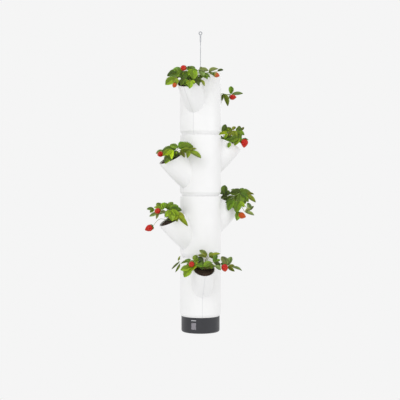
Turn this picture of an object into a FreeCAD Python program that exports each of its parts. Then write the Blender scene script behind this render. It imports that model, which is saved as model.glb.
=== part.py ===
import FreeCAD, Part

import math
import os

from FreeCAD import Placement, Rotation, Vector

# A hanging planter tower: four white modules, each of two half shells with two spouts for plants,
# are stacked on a dark reservoir base, and one steel cable up the axis carries the base.
# Millimetres. The origin is the centre of the eye that the tower hangs by, +Z is up, -Y is the front.

# Tower
MODULE_COUNT = 4
MODULE_PITCH = 252.0
TUBE_RADIUS = 85.0
WALL = 3.0
HANG_LENGTH = 168.0
EDGE_ROUND = 1.5

# Turned joint between two modules: a spigot under the groove turns in a collar below
GROOVE_DEPTH = 10.0
GROOVE_HEIGHT = 16.0
SPIGOT_DEPTH = 10.0
SPIGOT_FLANGE_RADIUS = 66.0
SPIGOT_FLANGE = 2.5
TURN_CLEARANCE = 0.3
COLLAR_WALL = 3.0
SHELF_THICKNESS = 3.0
SHELF_RADIUS = 68.0

# Turn of each module's upper spout from the front, positive towards +X, top module first
UPPER_SPOUT_TURN = (-20.0, 123.0, 123.0, 5.5)

# Spout: an elliptical horn that bends upwards as it leaves the tube
UPPER_TIP_HEIGHT = 89.0
LOWER_TIP_HEIGHT = 33.0
SPOUT_WIDTH = 90.0
SPOUT_DEPTH = 114.0
SPOUT_START_LEAN = 54.0
SPOUT_BEND_RADIUS = 700.0
SPOUT_ROOT_TURN = 2.5
SPOUT_TOTAL_TURN = 20.0
RIM_REACH = 110.0
RIM_HEIGHT = 97.0
RIM_SLOPE = 26.6

# Fine groove that the parting line leaves on the outside, the ribs along it inside the tube and the
# clips that hold the halves together
PARTING_WIDTH = 0.8
PARTING_DEPTH = 0.5
RIB_DEPTH = 6.0
RIB_THICKNESS = 2.0
RIB_LENGTH = 32.0
CLIP_WALL = 2.0
CLIP_CLEARANCE = 0.1
LOW_RIB_HEIGHT = 28.0
HIGH_RIB_HEIGHT = 196.0

# Slotted floor of a module with the tube that keeps the cable clear of the soil
FLOOR_THICKNESS = 3.0
FLOOR_CLEARANCE = 0.3
CORE_OUTER_RADIUS = 7.0
CORE_INNER_RADIUS = 5.0
DRAIN_SLOTS = 8
DRAIN_WIDTH = 4.0
DRAIN_START = 20.0
DRAIN_LENGTH = 38.0

# Soil
SOIL_CLEARANCE = 0.4
SOIL_HEADROOM = 3.0
SOIL_BELOW_RIM = 9.0

# Reservoir base
BASE_RADIUS = 79.5
BASE_DEPTH = 60.5
BASE_WALL = 3.0
BASE_FLOOR = 3.0
BASE_CORNER = 9.0
BASE_RIM_LAND = 0.8
LID_THICKNESS = 3.0
PASSAGE_START = 20.0
PASSAGE_SIZE = 30.0
LID_LEDGE_WIDTH = 5.0
LID_LEDGE_THICKNESS = 3.5
COLUMN_RADIUS = 10.0
COLUMN_BORE = 3.0
ANCHOR_RECESS_RADIUS = 13.0
ANCHOR_RECESS_DEPTH = 14.0
ANCHOR_BOSS_WALL = 4.0
ANCHOR_FLANGE_RADIUS = 20.5
ANCHOR_FLANGE = 1.5
ANCHOR_FIT = 0.15

# Level gauge in the base
GAUGE_TURN = -21.0
WINDOW_WIDTH = 21.0
WINDOW_TOP = -15.5
WINDOW_HEIGHT = 28.0
WINDOW_THICKNESS = 2.2
WINDOW_FLANGE = 2.0
WINDOW_FLANGE_THICKNESS = 1.4
WINDOW_FIT = 0.15
GASKET_THICKNESS = 0.8
MARK_HEIGHT = 3.2
MARK_TOP = -4.5
MARK_THICKNESS = 1.2
FLOAT_WIDTH = 28.0
FLOAT_HEIGHT = 10.0
FLOAT_THICKNESS = 10.0
FLOAT_CLEARANCE = 0.4
FLOAT_BEHIND_WINDOW = 1.2
RAIL_THICKNESS = 2.5
STOP_THICKNESS = 3.0

# Wick rods that lift water through the lid
WICK_COUNT = 2
WICK_RADIUS = 6.0
WICK_HEAD_RADIUS = 9.5
WICK_HEAD = 2.0
WICK_CIRCLE = 42.0
WICK_TURN = 100.0
WICK_FIT = 0.2
WICK_FLOOR_GAP = 3.0

# Cable, its eye and its anchor
CABLE_RADIUS = 1.25
SWAGE_FIT = 0.05
EYE_BORE_RADIUS = 4.0
EYE_RADIUS = 8.0
EYE_THICKNESS = 5.0
SHANK_RADIUS = 2.75
SHANK_LENGTH = 36.0
SHANK_BORE_DEPTH = 24.0
WASHER_RADIUS = 11.0
WASHER_THICKNESS = 2.0
STOP_SLEEVE_RADIUS = 4.0
STOP_SLEEVE_LENGTH = 9.0
CABLE_TAIL = 1.0

# Top cover with its watering hole
COVER_RADIUS = 83.0
COVER_PLATE = 2.5
COVER_SKIRT = 5.0
COVER_SKIRT_WALL = 2.5
COVER_DISH_RADIUS = 72.0
COVER_DISH_DROP = 7.0
COVER_HUB_RADIUS = 12.0
COVER_HUB_RISE = 9.0
COVER_HUB_BORE = 4.5
INLET_RADIUS = 14.0
INLET_OFFSET = 42.0
INLET_LIP = 3.0
INLET_LIP_ROOT = 0.8
INLET_WALL = 2.0
GROMMET_BORE = 1.75
GROMMET_FLANGE = 1.5
GROMMET_FLANGE_RADIUS = 7.0

# Plants
CROWN_RADIUS = 9.0
CROWN_TOP_RADIUS = 5.0
CROWN_HEIGHT = 11.0
CROWN_OUT = 52.0
STALK_WIDTH = 2.6
STALK_ARCH = 12.0
STALK_KNEE = 0.6
LOW_STALK_KNEE = 0.75
LEAF_THICKNESS = 1.2
LEAF_FOLD = 0.35
LEAF_WIDTH_SHARE = 0.68
BERRY_LENGTH = 2.35
BERRY_NECK = 0.45
BERRY_TIP = 0.35

# Outline of a leaflet as shares of its length and half width
LEAFLET_OUTLINE = ((0.0, 0.0), (0.22, 0.62), (0.55, 1.0), (0.86, 0.62), (1.0, 0.0))

# Worked out from the sizes above
TOWER_TOP = -HANG_LENGTH
TUBE_INNER = TUBE_RADIUS - WALL
SPIGOT_RADIUS = TUBE_RADIUS - GROOVE_DEPTH
SPIGOT_INNER = SPIGOT_RADIUS - WALL
COLLAR_RADIUS = SPIGOT_RADIUS + TURN_CLEARANCE
SHELF_TOP = MODULE_PITCH - SPIGOT_DEPTH
FLOOR_BOTTOM = SPIGOT_FLANGE - SPIGOT_DEPTH
FLOOR_TOP = FLOOR_BOTTOM + FLOOR_THICKNESS
BASE_BOTTOM = -BASE_DEPTH
BASE_INNER = BASE_RADIUS - BASE_WALL
LID_TOP = -SPIGOT_DEPTH
LID_BOTTOM = LID_TOP - LID_THICKNESS
RESERVOIR_FLOOR = BASE_BOTTOM + BASE_FLOOR
ORIGIN = Vector(0, 0, 0)
UP = Vector(0, 0, 1)


def module_bottom(number):
    """Height of a module's bottom plane in the tower, where 1 is the top module."""
    return TOWER_TOP - number * MODULE_PITCH


def line(start, end):
    """Straight edge between two (radius, height) points of a turned profile."""
    return Part.makeLine(Vector(start[0], 0, start[1]), Vector(end[0], 0, end[1]))


def arc(start, middle, end):
    """Arc edge through three (radius, height) points of a turned profile."""
    points = [Vector(p[0], 0, p[1]) for p in (start, middle, end)]
    return Part.Arc(*points).toShape()


def turned(*points):
    """Solid of revolution about Z of a polygon of (radius, height) points."""
    corners = [Vector(r, 0, z) for r, z in points]
    return Part.Face(Part.makePolygon(corners + corners[:1])).revolve(ORIGIN, UP, 360)


def turned_edges(edges):
    """Solid of revolution about Z of a closed loop of edges in the XZ plane."""
    return Part.Face(Part.Wire(edges)).revolve(ORIGIN, UP, 360)


def cylinder(radius, bottom, top, x=0.0, y=0.0):
    """Upright cylinder between two heights."""
    return Part.makeCylinder(radius, top - bottom, Vector(x, y, bottom))


def block(x_range, y_range, z_range):
    """Box between three pairs of limits."""
    lows = [min(pair) for pair in (x_range, y_range, z_range)]
    highs = [max(pair) for pair in (x_range, y_range, z_range)]
    sizes = [high - low for low, high in zip(lows, highs)]
    return Part.makeBox(*sizes, Vector(*lows))


def turn(shape, degrees):
    """Copy of a shape turned about the tower's axis."""
    copy = shape.copy()
    copy.rotate(ORIGIN, UP, degrees)
    return copy


def at_azimuth(shape, azimuth):
    """Copy of a shape drawn along +X, turned to an azimuth from the front (-Y) towards +X."""
    return turn(shape, azimuth - 90.0)


def ring_sector(inner, outer, bottom, top, half_width):
    """Part of a ring about Z, on the +X side, within a half width either side of the XZ plane."""
    ring = turned((inner, bottom), (outer, bottom), (outer, top), (inner, top))
    reach = outer + 1
    return ring.common(block((0, reach), (-half_width, half_width), (bottom, top)))


def save(name, shapes):
    """Write one node's solids to its STEP file, placed in the tower's frame."""
    solids = [solid for shape in shapes for solid in shape.Solids]
    shape = solids[0] if len(solids) == 1 else Part.makeCompound(solids)
    shape.exportStep(f"parts/{name}.step")


# Spout


def horn(tip_height, inset):
    """Curved elliptical horn of a spout, pointing out along +X, shrunk by an inset all round."""
    lean = math.radians(SPOUT_START_LEAN)
    across = Vector(-math.cos(lean), 0, math.sin(lean))
    tip = Vector(TUBE_RADIUS, 0, tip_height)
    bend_centre = tip + across * SPOUT_BEND_RADIUS
    middle = tip + across * (SPOUT_DEPTH / 2)
    deep_end = middle + across * (SPOUT_DEPTH / 2 - inset)
    wide_end = middle + Vector(0, SPOUT_WIDTH / 2 - inset, 0)
    oval = Part.Face(Part.Wire([Part.Ellipse(deep_end, wide_end, middle).toShape()]))
    oval.rotate(bend_centre, Vector(0, -1, 0), -SPOUT_ROOT_TURN)
    return oval.revolve(bend_centre, Vector(0, -1, 0), SPOUT_TOTAL_TURN + SPOUT_ROOT_TURN)


def above_rim(tip_height, drop=0.0):
    """Large block above the sloping rim plane of a spout, or that plane lowered by a drop."""
    size = 4 * TUBE_RADIUS
    keep_out = Part.makeBox(2 * size, size, size, Vector(-size, -size / 2, -drop))
    keep_out.rotate(ORIGIN, Vector(0, 1, 0), RIM_SLOPE)
    keep_out.translate(Vector(TUBE_RADIUS + RIM_REACH, 0, tip_height + RIM_HEIGHT))
    return keep_out


def spout_outside(tip_height):
    """Outer form of a spout, cut off at its rim."""
    return horn(tip_height, 0).cut(above_rim(tip_height))


def pocket_soil(tip_height):
    """Soil that fills a spout out to its sloping surface, outside the soil of the tube."""
    plug = horn(tip_height, WALL + SOIL_CLEARANCE)
    plug = plug.cut(above_rim(tip_height, SOIL_BELOW_RIM))
    tube_side = cylinder(TUBE_INNER, -MODULE_PITCH, 2 * MODULE_PITCH)
    return max(plug.cut(tube_side).Solids, key=lambda solid: solid.Volume)


# Module


def tube_outside():
    """Outer form of a module: spigot, groove side, tube and rounded top edge."""
    top = MODULE_PITCH
    round_in = EDGE_ROUND * (1 - math.sqrt(0.5))
    edge = (TUBE_RADIUS, top - EDGE_ROUND)
    crest = (TUBE_RADIUS - EDGE_ROUND, top)
    groove_foot = (SPIGOT_RADIUS, 0)
    groove_top = (TUBE_RADIUS, GROOVE_HEIGHT)
    spigot_foot = (SPIGOT_RADIUS, -SPIGOT_DEPTH)
    axis_low = (0, -SPIGOT_DEPTH)
    axis_high = (0, top)
    return turned_edges([
        line(axis_low, spigot_foot),
        line(spigot_foot, groove_foot),
        line(groove_foot, groove_top),
        line(groove_top, edge),
        arc(edge, (TUBE_RADIUS - round_in, top - round_in), crest),
        line(crest, axis_high),
        line(axis_high, axis_low),
    ])


def cavity_profile(clearance, top):
    """Points of the hollow inside a module from its floor flange to a height, less a clearance."""
    wide = TUBE_INNER - clearance
    narrow = SPIGOT_INNER - clearance
    slope = GROOVE_DEPTH / GROOVE_HEIGHT
    foot = WALL * (math.sqrt(1 + slope ** 2) - 1) / slope
    return [(narrow, foot), (wide, GROOVE_HEIGHT + foot), (wide, top)]


def collar():
    """Ring inside a module's top edge: the next spigot turns in it and stands on its shelf."""
    outer = COLLAR_RADIUS + COLLAR_WALL
    shelf_bottom = SHELF_TOP - SHELF_THICKNESS
    top = MODULE_PITCH
    crown = turned((COLLAR_RADIUS, top - WALL), (TUBE_INNER, top - WALL), (TUBE_INNER, top),
                   (COLLAR_RADIUS, top))
    cup = turned((SHELF_RADIUS, shelf_bottom), (outer, shelf_bottom), (outer, top - WALL),
                 (COLLAR_RADIUS, top - WALL), (COLLAR_RADIUS, SHELF_TOP), (SHELF_RADIUS, SHELF_TOP))
    return crown.fuse(cup)


def rib(height, grow=0.0):
    """Pair of ribs astride the parting plane on the +X side, starting at a height."""
    inner = TUBE_INNER - RIB_DEPTH
    half = RIB_THICKNESS + grow
    return block((inner - grow, TUBE_INNER + WALL / 2), (-half, half), (height, height + RIB_LENGTH))


def clip(height):
    """Spring clip that slides over a pair of ribs and holds the two half shells together."""
    grip = RIB_THICKNESS + CLIP_CLEARANCE + CLIP_WALL
    inner = TUBE_INNER - RIB_DEPTH - CLIP_CLEARANCE - CLIP_WALL
    outer = TUBE_INNER - CLIP_WALL
    body = block((inner, outer), (-grip, grip), (height + CLIP_WALL, height + RIB_LENGTH - CLIP_WALL))
    return body.cut(rib(height, CLIP_CLEARANCE))


def clip_room(height):
    """Space that the soil leaves around a clip."""
    grip = RIB_THICKNESS + CLIP_CLEARANCE + CLIP_WALL + SOIL_CLEARANCE
    inner = TUBE_INNER - RIB_DEPTH - CLIP_CLEARANCE - CLIP_WALL - SOIL_CLEARANCE
    low = height - SOIL_CLEARANCE
    high = height + RIB_LENGTH + SOIL_CLEARANCE
    return block((inner, TUBE_RADIUS), (-grip, grip), (low, high))


def parting_groove():
    """Thin plate on the parting plane, hollowed so that it cuts only the outermost skin."""
    reach = 4 * TUBE_RADIUS
    half = PARTING_WIDTH / 2
    plate = block((-reach, reach), (-half, half), (-reach, reach))
    return plate.cut([
        cylinder(TUBE_RADIUS - PARTING_DEPTH, -reach, reach),
        horn(UPPER_TIP_HEIGHT, PARTING_DEPTH),
        turn(horn(LOWER_TIP_HEIGHT, PARTING_DEPTH), 180),
    ])


def half_shells():
    """Two half shells of a module, split on the plane through both spouts."""
    outside = tube_outside()
    outside = outside.fuse(spout_outside(UPPER_TIP_HEIGHT))
    outside = outside.fuse(turn(spout_outside(LOWER_TIP_HEIGHT), 180))
    outside = outside.cut(parting_groove())
    hollow_points = cavity_profile(0, MODULE_PITCH + 1)
    low_edge = [(0, FLOOR_BOTTOM), (SPIGOT_INNER, FLOOR_BOTTOM)]
    hollow = turned(*low_edge, *hollow_points, (0, MODULE_PITCH + 1))
    hollow = hollow.fuse(cylinder(SPIGOT_FLANGE_RADIUS, -SPIGOT_DEPTH - 1, FLOOR_BOTTOM + 1))
    shell = outside.cut(hollow)
    shell = shell.cut(horn(UPPER_TIP_HEIGHT, WALL))
    shell = shell.cut(turn(horn(LOWER_TIP_HEIGHT, WALL), 180))
    shell = shell.fuse([collar(), rib(LOW_RIB_HEIGHT), turn(rib(HIGH_RIB_HEIGHT), 180)])
    reach = 4 * TUBE_RADIUS
    left = block((-reach, reach), (-reach, 0), (-reach, reach))
    right = block((-reach, reach), (0, reach), (-reach, reach))
    return shell.common(left).removeSplitter(), shell.common(right).removeSplitter()


def module_floor():
    """Slotted floor with the tube that guides the cable up to the next module."""
    disc = cylinder(SPIGOT_INNER - FLOOR_CLEARANCE, FLOOR_BOTTOM, FLOOR_TOP)
    slot = block((DRAIN_START, DRAIN_START + DRAIN_LENGTH), (-DRAIN_WIDTH / 2, DRAIN_WIDTH / 2),
                 (FLOOR_BOTTOM - 1, FLOOR_TOP + 1))
    disc = disc.cut([turn(slot, 360 * index / DRAIN_SLOTS) for index in range(DRAIN_SLOTS)])
    tube = cylinder(CORE_OUTER_RADIUS, -SPIGOT_DEPTH, SHELF_TOP)
    bore = cylinder(CORE_INNER_RADIUS, -SPIGOT_DEPTH - 1, SHELF_TOP + 1)
    return disc.fuse(tube).cut(bore)


def tube_soil():
    """Soil in the tube of a module, around the cable's tube and the clips."""
    top = SHELF_TOP - SHELF_THICKNESS - SOIL_HEADROOM
    bottom = FLOOR_TOP + SOIL_CLEARANCE
    inner = CORE_OUTER_RADIUS + SOIL_CLEARANCE
    narrow = SPIGOT_INNER - SOIL_CLEARANCE
    body = turned((inner, bottom), (narrow, bottom), *cavity_profile(SOIL_CLEARANCE, top), (inner, top))
    return body.cut([clip_room(LOW_RIB_HEIGHT), turn(clip_room(HIGH_RIB_HEIGHT), 180)])


# Plants, each drawn over its spout and seated on the soil by its crown


def leaflet(length):
    """Two flat halves of a folded leaflet along +X from its foot at the origin."""
    width = LEAF_WIDTH_SHARE * length / 2
    halves = []
    for side in (1, -1):
        corners = [Vector(x * length, side * y * width, y * width * LEAF_FOLD)
                   for x, y in LEAFLET_OUTLINE]
        outline = Part.Face(Part.makePolygon(corners + corners[:1]))
        halves.append(outline.extrude(Vector(0, 0, -LEAF_THICKNESS)))
    return halves


def stalk(start, end):
    """Straight four-sided stalk that runs half its width past both of its end points."""
    direction = end - start
    half = STALK_WIDTH / 2
    corners = [Vector(x, y, -half) for x, y in ((half, 0), (0, half), (-half, 0), (0, -half))]
    base = Part.Face(Part.makePolygon(corners + corners[:1]))
    solid = base.extrude(Vector(0, 0, direction.Length + STALK_WIDTH))
    solid.Placement = Placement(start, Rotation(UP, direction))
    return solid


def arched_stalk(crown, end):
    """Two straight stalks from the crown over a knee to a leaf or berry."""
    foot = crown + Vector(0, 0, CROWN_HEIGHT / 3)
    way = end - foot
    share = LOW_STALK_KNEE if way.z < 0 else STALK_KNEE
    knee = foot + Vector(way.x * share, way.y * share, max(0.0, way.z) * share + STALK_ARCH)
    return [stalk(foot, knee), stalk(knee, end)]


def leaf(crown, spec):
    """Stalk and leaflets; spec is (right, near, up, face, blades) with the blades as (aim, length)."""
    right, near, up, face, blades = spec
    junction = crown + Vector(right, -near, up)
    pieces = arched_stalk(crown, junction)
    for aim, length in blades:
        laid = Rotation(Vector(1, 0, 0), face).multiply(Rotation(UP, aim))
        for half in leaflet(length):
            half.Placement = Placement(junction + Vector(0, 0, LEAF_THICKNESS / 2), laid)
            pieces.append(half)
    return pieces


def berry_form(radius):
    """Berry that hangs down from the origin: a ball and a small ball at its tip, joined by a cone."""
    tip_radius, neck_radius = radius * BERRY_TIP, radius * BERRY_NECK
    ball = -math.sqrt(radius ** 2 - neck_radius ** 2)
    tip_ball = tip_radius - radius * BERRY_LENGTH
    lean = math.asin((radius - tip_radius) / (ball - tip_ball))
    half_way = (lean + math.pi / 2) / 2
    foot = (tip_radius * math.cos(lean), tip_ball - tip_radius * math.sin(lean))
    flank = (radius * math.cos(lean), ball - radius * math.sin(lean))
    round_tip = (tip_radius * math.cos(half_way), tip_ball - tip_radius * math.sin(half_way))
    end = (0, tip_ball - tip_radius)
    return turned_edges([
        line((0, 0), (neck_radius, 0)),
        arc((neck_radius, 0), (radius, ball), flank),
        line(flank, foot),
        arc(foot, round_tip, end),
        line(end, (0, 0)),
    ])


def berry(crown, spec):
    """Stalk and berry; spec is (right, near, up, radius, aim, toward) for its middle and its tip."""
    right, near, up, radius, aim, toward = spec
    across, ahead = math.radians(aim), math.radians(toward)
    direction = Vector(math.cos(across) * math.cos(ahead), -math.sin(ahead),
                       math.sin(across) * math.cos(ahead))
    top = crown + Vector(right, -near, up) - direction * (BERRY_LENGTH * radius / 2)
    fruit = berry_form(radius)
    fruit.Placement = Placement(top, Rotation(-UP, direction))
    return arched_stalk(crown, top) + [fruit]


def plant(azimuth, tip_height, leaves, berries):
    """One strawberry plant fused to a single solid, on the soil of the spout at an azimuth."""
    slope = math.radians(RIM_SLOPE)
    rim_tip = Vector(TUBE_RADIUS + RIM_REACH, 0, tip_height + RIM_HEIGHT)
    normal = Vector(math.sin(slope), 0, math.cos(slope))
    inward = Vector(-math.cos(slope), 0, math.sin(slope))
    crown = rim_tip - normal * SOIL_BELOW_RIM + inward * (RIM_REACH - CROWN_OUT) / math.cos(slope)
    to_azimuth = Rotation(UP, azimuth - 90)
    crown, normal = to_azimuth.multVec(crown), to_azimuth.multVec(normal)
    foot = Part.makeCone(CROWN_RADIUS, CROWN_TOP_RADIUS, CROWN_HEIGHT, crown, normal)
    pieces = []
    for spec in leaves:
        pieces += leaf(crown, spec)
    for spec in berries:
        pieces += berry(crown, spec)
    return foot.multiFuse(pieces).removeSplitter()


# Leaves as (right, near, up, face, blades) and berries as (right, near, up, radius, aim, toward), all as
# seen from the front, from the crown. Face is how far the blades turn from level towards the viewer,
# a blade's aim turns from right towards up in that plane, and toward is how far a berry's tip points
# at the viewer.
PLANTS = {
    (1, "upper"): (
        (
            (-56, 44, 16, 55, ((-135, 50), (-80, 34), (-165, 22))),
            (-46, 18, 34, 50, ((-165, 38), (145, 34), (95, 38))),
            (-22, 28, 44, 55, ((-90, 40), (-140, 28), (-50, 30))),
            (6, -8, 46, 60, ((70, 26), (120, 22), (10, 22))),
            (18, 36, 48, 60, ((-90, 36),)),
            (-4, 16, 30, 45, ((85, 34), (-65, 36))),
            (6, 66, 2, 65, ((-95, 34), (-30, 20), (-145, 20))),
            (40, 10, 52, 55, ((-10, 36), (-60, 38), (35, 20))),
            (54, 14, 32, 50, ((-15, 30), (-50, 30), (-115, 26))),
            (50, 44, 8, 60, ((-65, 22),)),
            (78, -14, 42, 50, ((40, 48),)),
            (114, -18, 48, 50, ((30, 26),)),
            (-44, -12, 36, -30, ((30, 34), (120, 36), (-150, 30))),
        ),
        (
            (-24, 50, 54, 13, 200, 55),
            (-58, 64, -16, 10, -110, 40),
            (112, -12, 34, 13, -10, 10),
        ),
    ),
    (1, "lower"): (
        (
            (80, 20, 22, 62, ((80, 40), (15, 54))),
            (52, 16, 26, 65, ((-70, 58),)),
            (-26, -24, 40, -40, ((150, 38), (60, 36), (-120, 30))),
            (22, -36, 36, -45, ((40, 38), (110, 40), (-30, 30))),
        ),
        (
            (92, 30, 14, 11.5, 0, 15),
            (-6, -62, 10, 12, -100, -40),
        ),
    ),
    (2, "lower"): (
        (
            (12, 22, 42, 50, ((-165, 52), (160, 28))),
            (10, 54, 38, 62, ((-115, 64), (-155, 46))),
            (-12, 58, 18, 60, ((-110, 38),)),
            (28, 42, 38, 55, ((10, 56), (50, 36))),
            (30, 50, 36, 60, ((-10, 48), (-65, 34))),
            (78, 60, 24, 48, ((-45, 48), (-130, 36))),
            (-34, -22, 34, -35, ((160, 38), (80, 38), (20, 30))),
        ),
        (
            (-48, 28, 20, 12.5, 200, 35),
        ),
    ),
    (2, "upper"): (
        (
            (-18, 2, 50, 60, ((75, 50),)),
            (22, 4, 62, 55, ((165, 34), (135, 30), (-130, 24))),
            (22, 14, 66, 60, ((-65, 32), (60, 18))),
            (36, 8, 66, 60, ((-25, 36), (-60, 42))),
            (60, -6, 66, 55, ((115, 30),)),
            (2, 32, 54, 55, ((-176, 38), (-120, 26))),
            (8, 16, 38, 50, ((-150, 32), (-115, 36))),
            (54, 36, 34, 60, ((-165, 40), (-120, 36), (-40, 28))),
            (12, 50, 16, 62, ((-110, 24),)),
            (24, -26, 44, -40, ((140, 36), (60, 40), (0, 34))),
        ),
        (
            (70, 30, 14, 16, -100, 25),
        ),
    ),
    (3, "lower"): (
        (
            (-76, 14, 48, 50, ((175, 30), (-140, 22))),
            (-42, 20, 46, 50, ((125, 40), (150, 34), (70, 34))),
            (-26, 4, 46, 50, ((55, 34), (100, 28))),
            (-14, 14, 50, 55, ((-5, 42), (35, 30))),
            (-10, 40, 46, 62, ((-80, 44), (-125, 28))),
            (20, 52, 20, 48, ((-55, 48), (-140, 22))),
            (-58, 26, 36, 60, ((-155, 40), (-110, 28))),
            (-30, -28, 40, -35, ((150, 36), (75, 38), (10, 30))),
        ),
        (
            (-64, 42, 42, 12.5, 200, 50),
            (-98, 34, -28, 15, 205, 15),
        ),
    ),
    (3, "upper"): (
        (
            (-16, 0, 48, 58, ((80, 46), (125, 28))),
            (-10, 4, 40, 58, ((55, 36), (95, 36))),
            (2, 16, 42, 55, ((-170, 30), (-120, 30))),
            (36, -8, 56, 50, ((120, 28), (50, 26))),
            (52, -4, 56, 45, ((10, 46),)),
            (78, 20, 48, 52, ((-35, 46),)),
            (54, 8, 52, 55, ((175, 42), (130, 32), (-130, 32))),
            (54, 26, 56, 62, ((-85, 50), (-30, 38))),
            (70, 30, 42, 60, ((-50, 28), (-80, 30))),
            (24, 44, 28, 62, ((-115, 50), (-150, 36), (-75, 38))),
            (50, 44, 20, 62, ((-105, 50), (-50, 32), (-135, 38))),
            (96, 36, -18, 60, ((85, 38),)),
            (74, 44, -24, 60, ((-15, 36), (40, 26))),
            (48, 46, -20, 62, ((-100, 38),)),
            (30, -30, 42, -40, ((140, 38), (60, 40), (0, 34))),
        ),
        (
            (62, 52, -38, 15, -20, 25),
        ),
    ),
    (4, "upper"): (
        (
            (-34, 22, 36, 60, ((90, 34), (30, 20))),
            (-26, 34, 36, 58, ((-155, 50), (-130, 46))),
            (-50, 50, 16, 60, ((-125, 48), (-165, 42))),
            (16, -8, 56, 55, ((140, 38),)),
            (10, 10, 50, 50, ((155, 34),)),
            (0, 26, 38, 58, ((140, 30), (-160, 24))),
            (-2, 54, 18, 62, ((40, 42), (105, 26), (160, 26))),
            (22, -12, 52, 45, ((25, 46), (65, 26))),
            (38, 20, 34, 60, ((65, 34), (20, 26))),
            (46, 30, 36, 60, ((-45, 26),)),
            (46, 44, 22, 55, ((-40, 28),)),
            (100, 10, 20, 60, ((125, 46), (75, 36))),
            (96, 20, 14, 60, ((-35, 32), (20, 24))),
            (114, 20, 14, 50, ((-10, 38),)),
            (-58, -12, 30, 20, ((170, 34), (110, 34))),
        ),
        (
            (-50, 56, 28, 12.5, 200, 60),
            (84, 44, 12, 15, -80, 45),
        ),
    ),
    (4, "lower"): (
        (
            (-86, 8, 72, 70, ((60, 24),)),
            (-78, 4, 68, 72, ((-145, 44), (-110, 46))),
            (-20, -30, 44, -40, ((160, 38), (90, 40), (20, 36))),
            (30, -18, 38, -30, ((30, 38), (90, 36), (-40, 30))),
            (34, -52, 16, -55, ((20, 36), (80, 38))),
        ),
        (
            (4, -64, 14, 13, -80, -40),
        ),
    ),
}


# Reservoir base, drawn with the bottom plane of the lowest module at zero height


def base_outline():
    """Solid outer form of the base with its conical seat line and rounded bottom corner."""
    slope = GROOVE_DEPTH / GROOVE_HEIGHT
    land = BASE_RADIUS - BASE_RIM_LAND
    rim = (land - COLLAR_RADIUS) / slope
    turn_in = BASE_CORNER * (1 - math.sqrt(0.5))
    side = (BASE_RADIUS, BASE_BOTTOM + BASE_CORNER)
    under = (BASE_RADIUS - BASE_CORNER, BASE_BOTTOM)
    axis_low = (0, BASE_BOTTOM)
    axis_high = (0, 0)
    seat_foot = (COLLAR_RADIUS, 0)
    return turned_edges([
        line(axis_low, under),
        arc(under, (BASE_RADIUS - turn_in, BASE_BOTTOM + turn_in), side),
        line(side, (BASE_RADIUS, rim)),
        line((BASE_RADIUS, rim), (land, rim)),
        line((land, rim), seat_foot),
        line(seat_foot, axis_high),
        line(axis_high, axis_low),
    ])


def base_hollow():
    """Reservoir and lid seat inside the base, with a corner rounded like the outside."""
    corner = BASE_CORNER - BASE_WALL
    turn_in = corner * (1 - math.sqrt(0.5))
    ledge_inner = COLLAR_RADIUS - LID_LEDGE_WIDTH
    ledge_bottom = LID_BOTTOM - LID_LEDGE_THICKNESS
    taper = BASE_INNER - ledge_inner
    under = (BASE_INNER - corner, RESERVOIR_FLOOR)
    side = (BASE_INNER, RESERVOIR_FLOOR + corner)
    ledge_low = (BASE_INNER, ledge_bottom - taper / 2)
    return turned_edges([
        line((0, RESERVOIR_FLOOR), under),
        arc(under, (BASE_INNER - turn_in, RESERVOIR_FLOOR + turn_in), side),
        line(side, ledge_low),
        line(ledge_low, (ledge_inner, ledge_bottom)),
        line((ledge_inner, ledge_bottom), (ledge_inner, LID_BOTTOM)),
        line((ledge_inner, LID_BOTTOM), (COLLAR_RADIUS, LID_BOTTOM)),
        line((COLLAR_RADIUS, LID_BOTTOM), (COLLAR_RADIUS, 1)),
        line((COLLAR_RADIUS, 1), (0, 1)),
        line((0, 1), (0, RESERVOIR_FLOOR)),
    ])


def gauge_sizes():
    """Radii and heights that the gauge pieces share, as a dictionary."""
    flange_outer = BASE_INNER - GASKET_THICKNESS
    flange_inner = flange_outer - WINDOW_FLANGE_THICKNESS
    float_outer = flange_inner - FLOAT_BEHIND_WINDOW
    bottom = WINDOW_TOP - WINDOW_HEIGHT
    return {
        "flange_outer": flange_outer,
        "flange_inner": flange_inner,
        "float_outer": float_outer,
        "bottom": bottom,
        "rail_inside": FLOAT_WIDTH / 2 + FLOAT_CLEARANCE,
    }


def gauge_room():
    """Space behind the window, between the rails and down to the float's stop, along +X."""
    gauge = gauge_sizes()
    inside = gauge["rail_inside"]
    rail_foot = gauge["float_outer"] - FLOAT_THICKNESS
    room = ring_sector(rail_foot, BASE_INNER, gauge["bottom"] - WINDOW_FLANGE - WINDOW_FIT, LID_BOTTOM, inside)
    return room.cut(block((rail_foot, gauge["float_outer"]), (-inside, inside),
                          (BASE_BOTTOM, gauge["bottom"])))


def gauge_frame():
    """Two rails beside the window and the stop between them that the float rests on."""
    gauge = gauge_sizes()
    inside = gauge["rail_inside"]
    rail_foot = gauge["float_outer"] - FLOAT_THICKNESS
    frame = block((rail_foot, gauge["float_outer"]), (-inside, inside),
                  (gauge["bottom"] - STOP_THICKNESS, gauge["bottom"]))
    for side in (1, -1):
        near, far = side * inside, side * (inside + RAIL_THICKNESS)
        frame = frame.fuse(block((rail_foot, BASE_INNER), (near, far), (RESERVOIR_FLOOR, WINDOW_TOP)))
    return frame.common(base_hollow()).cut(gauge_room()).removeSplitter()


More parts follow.
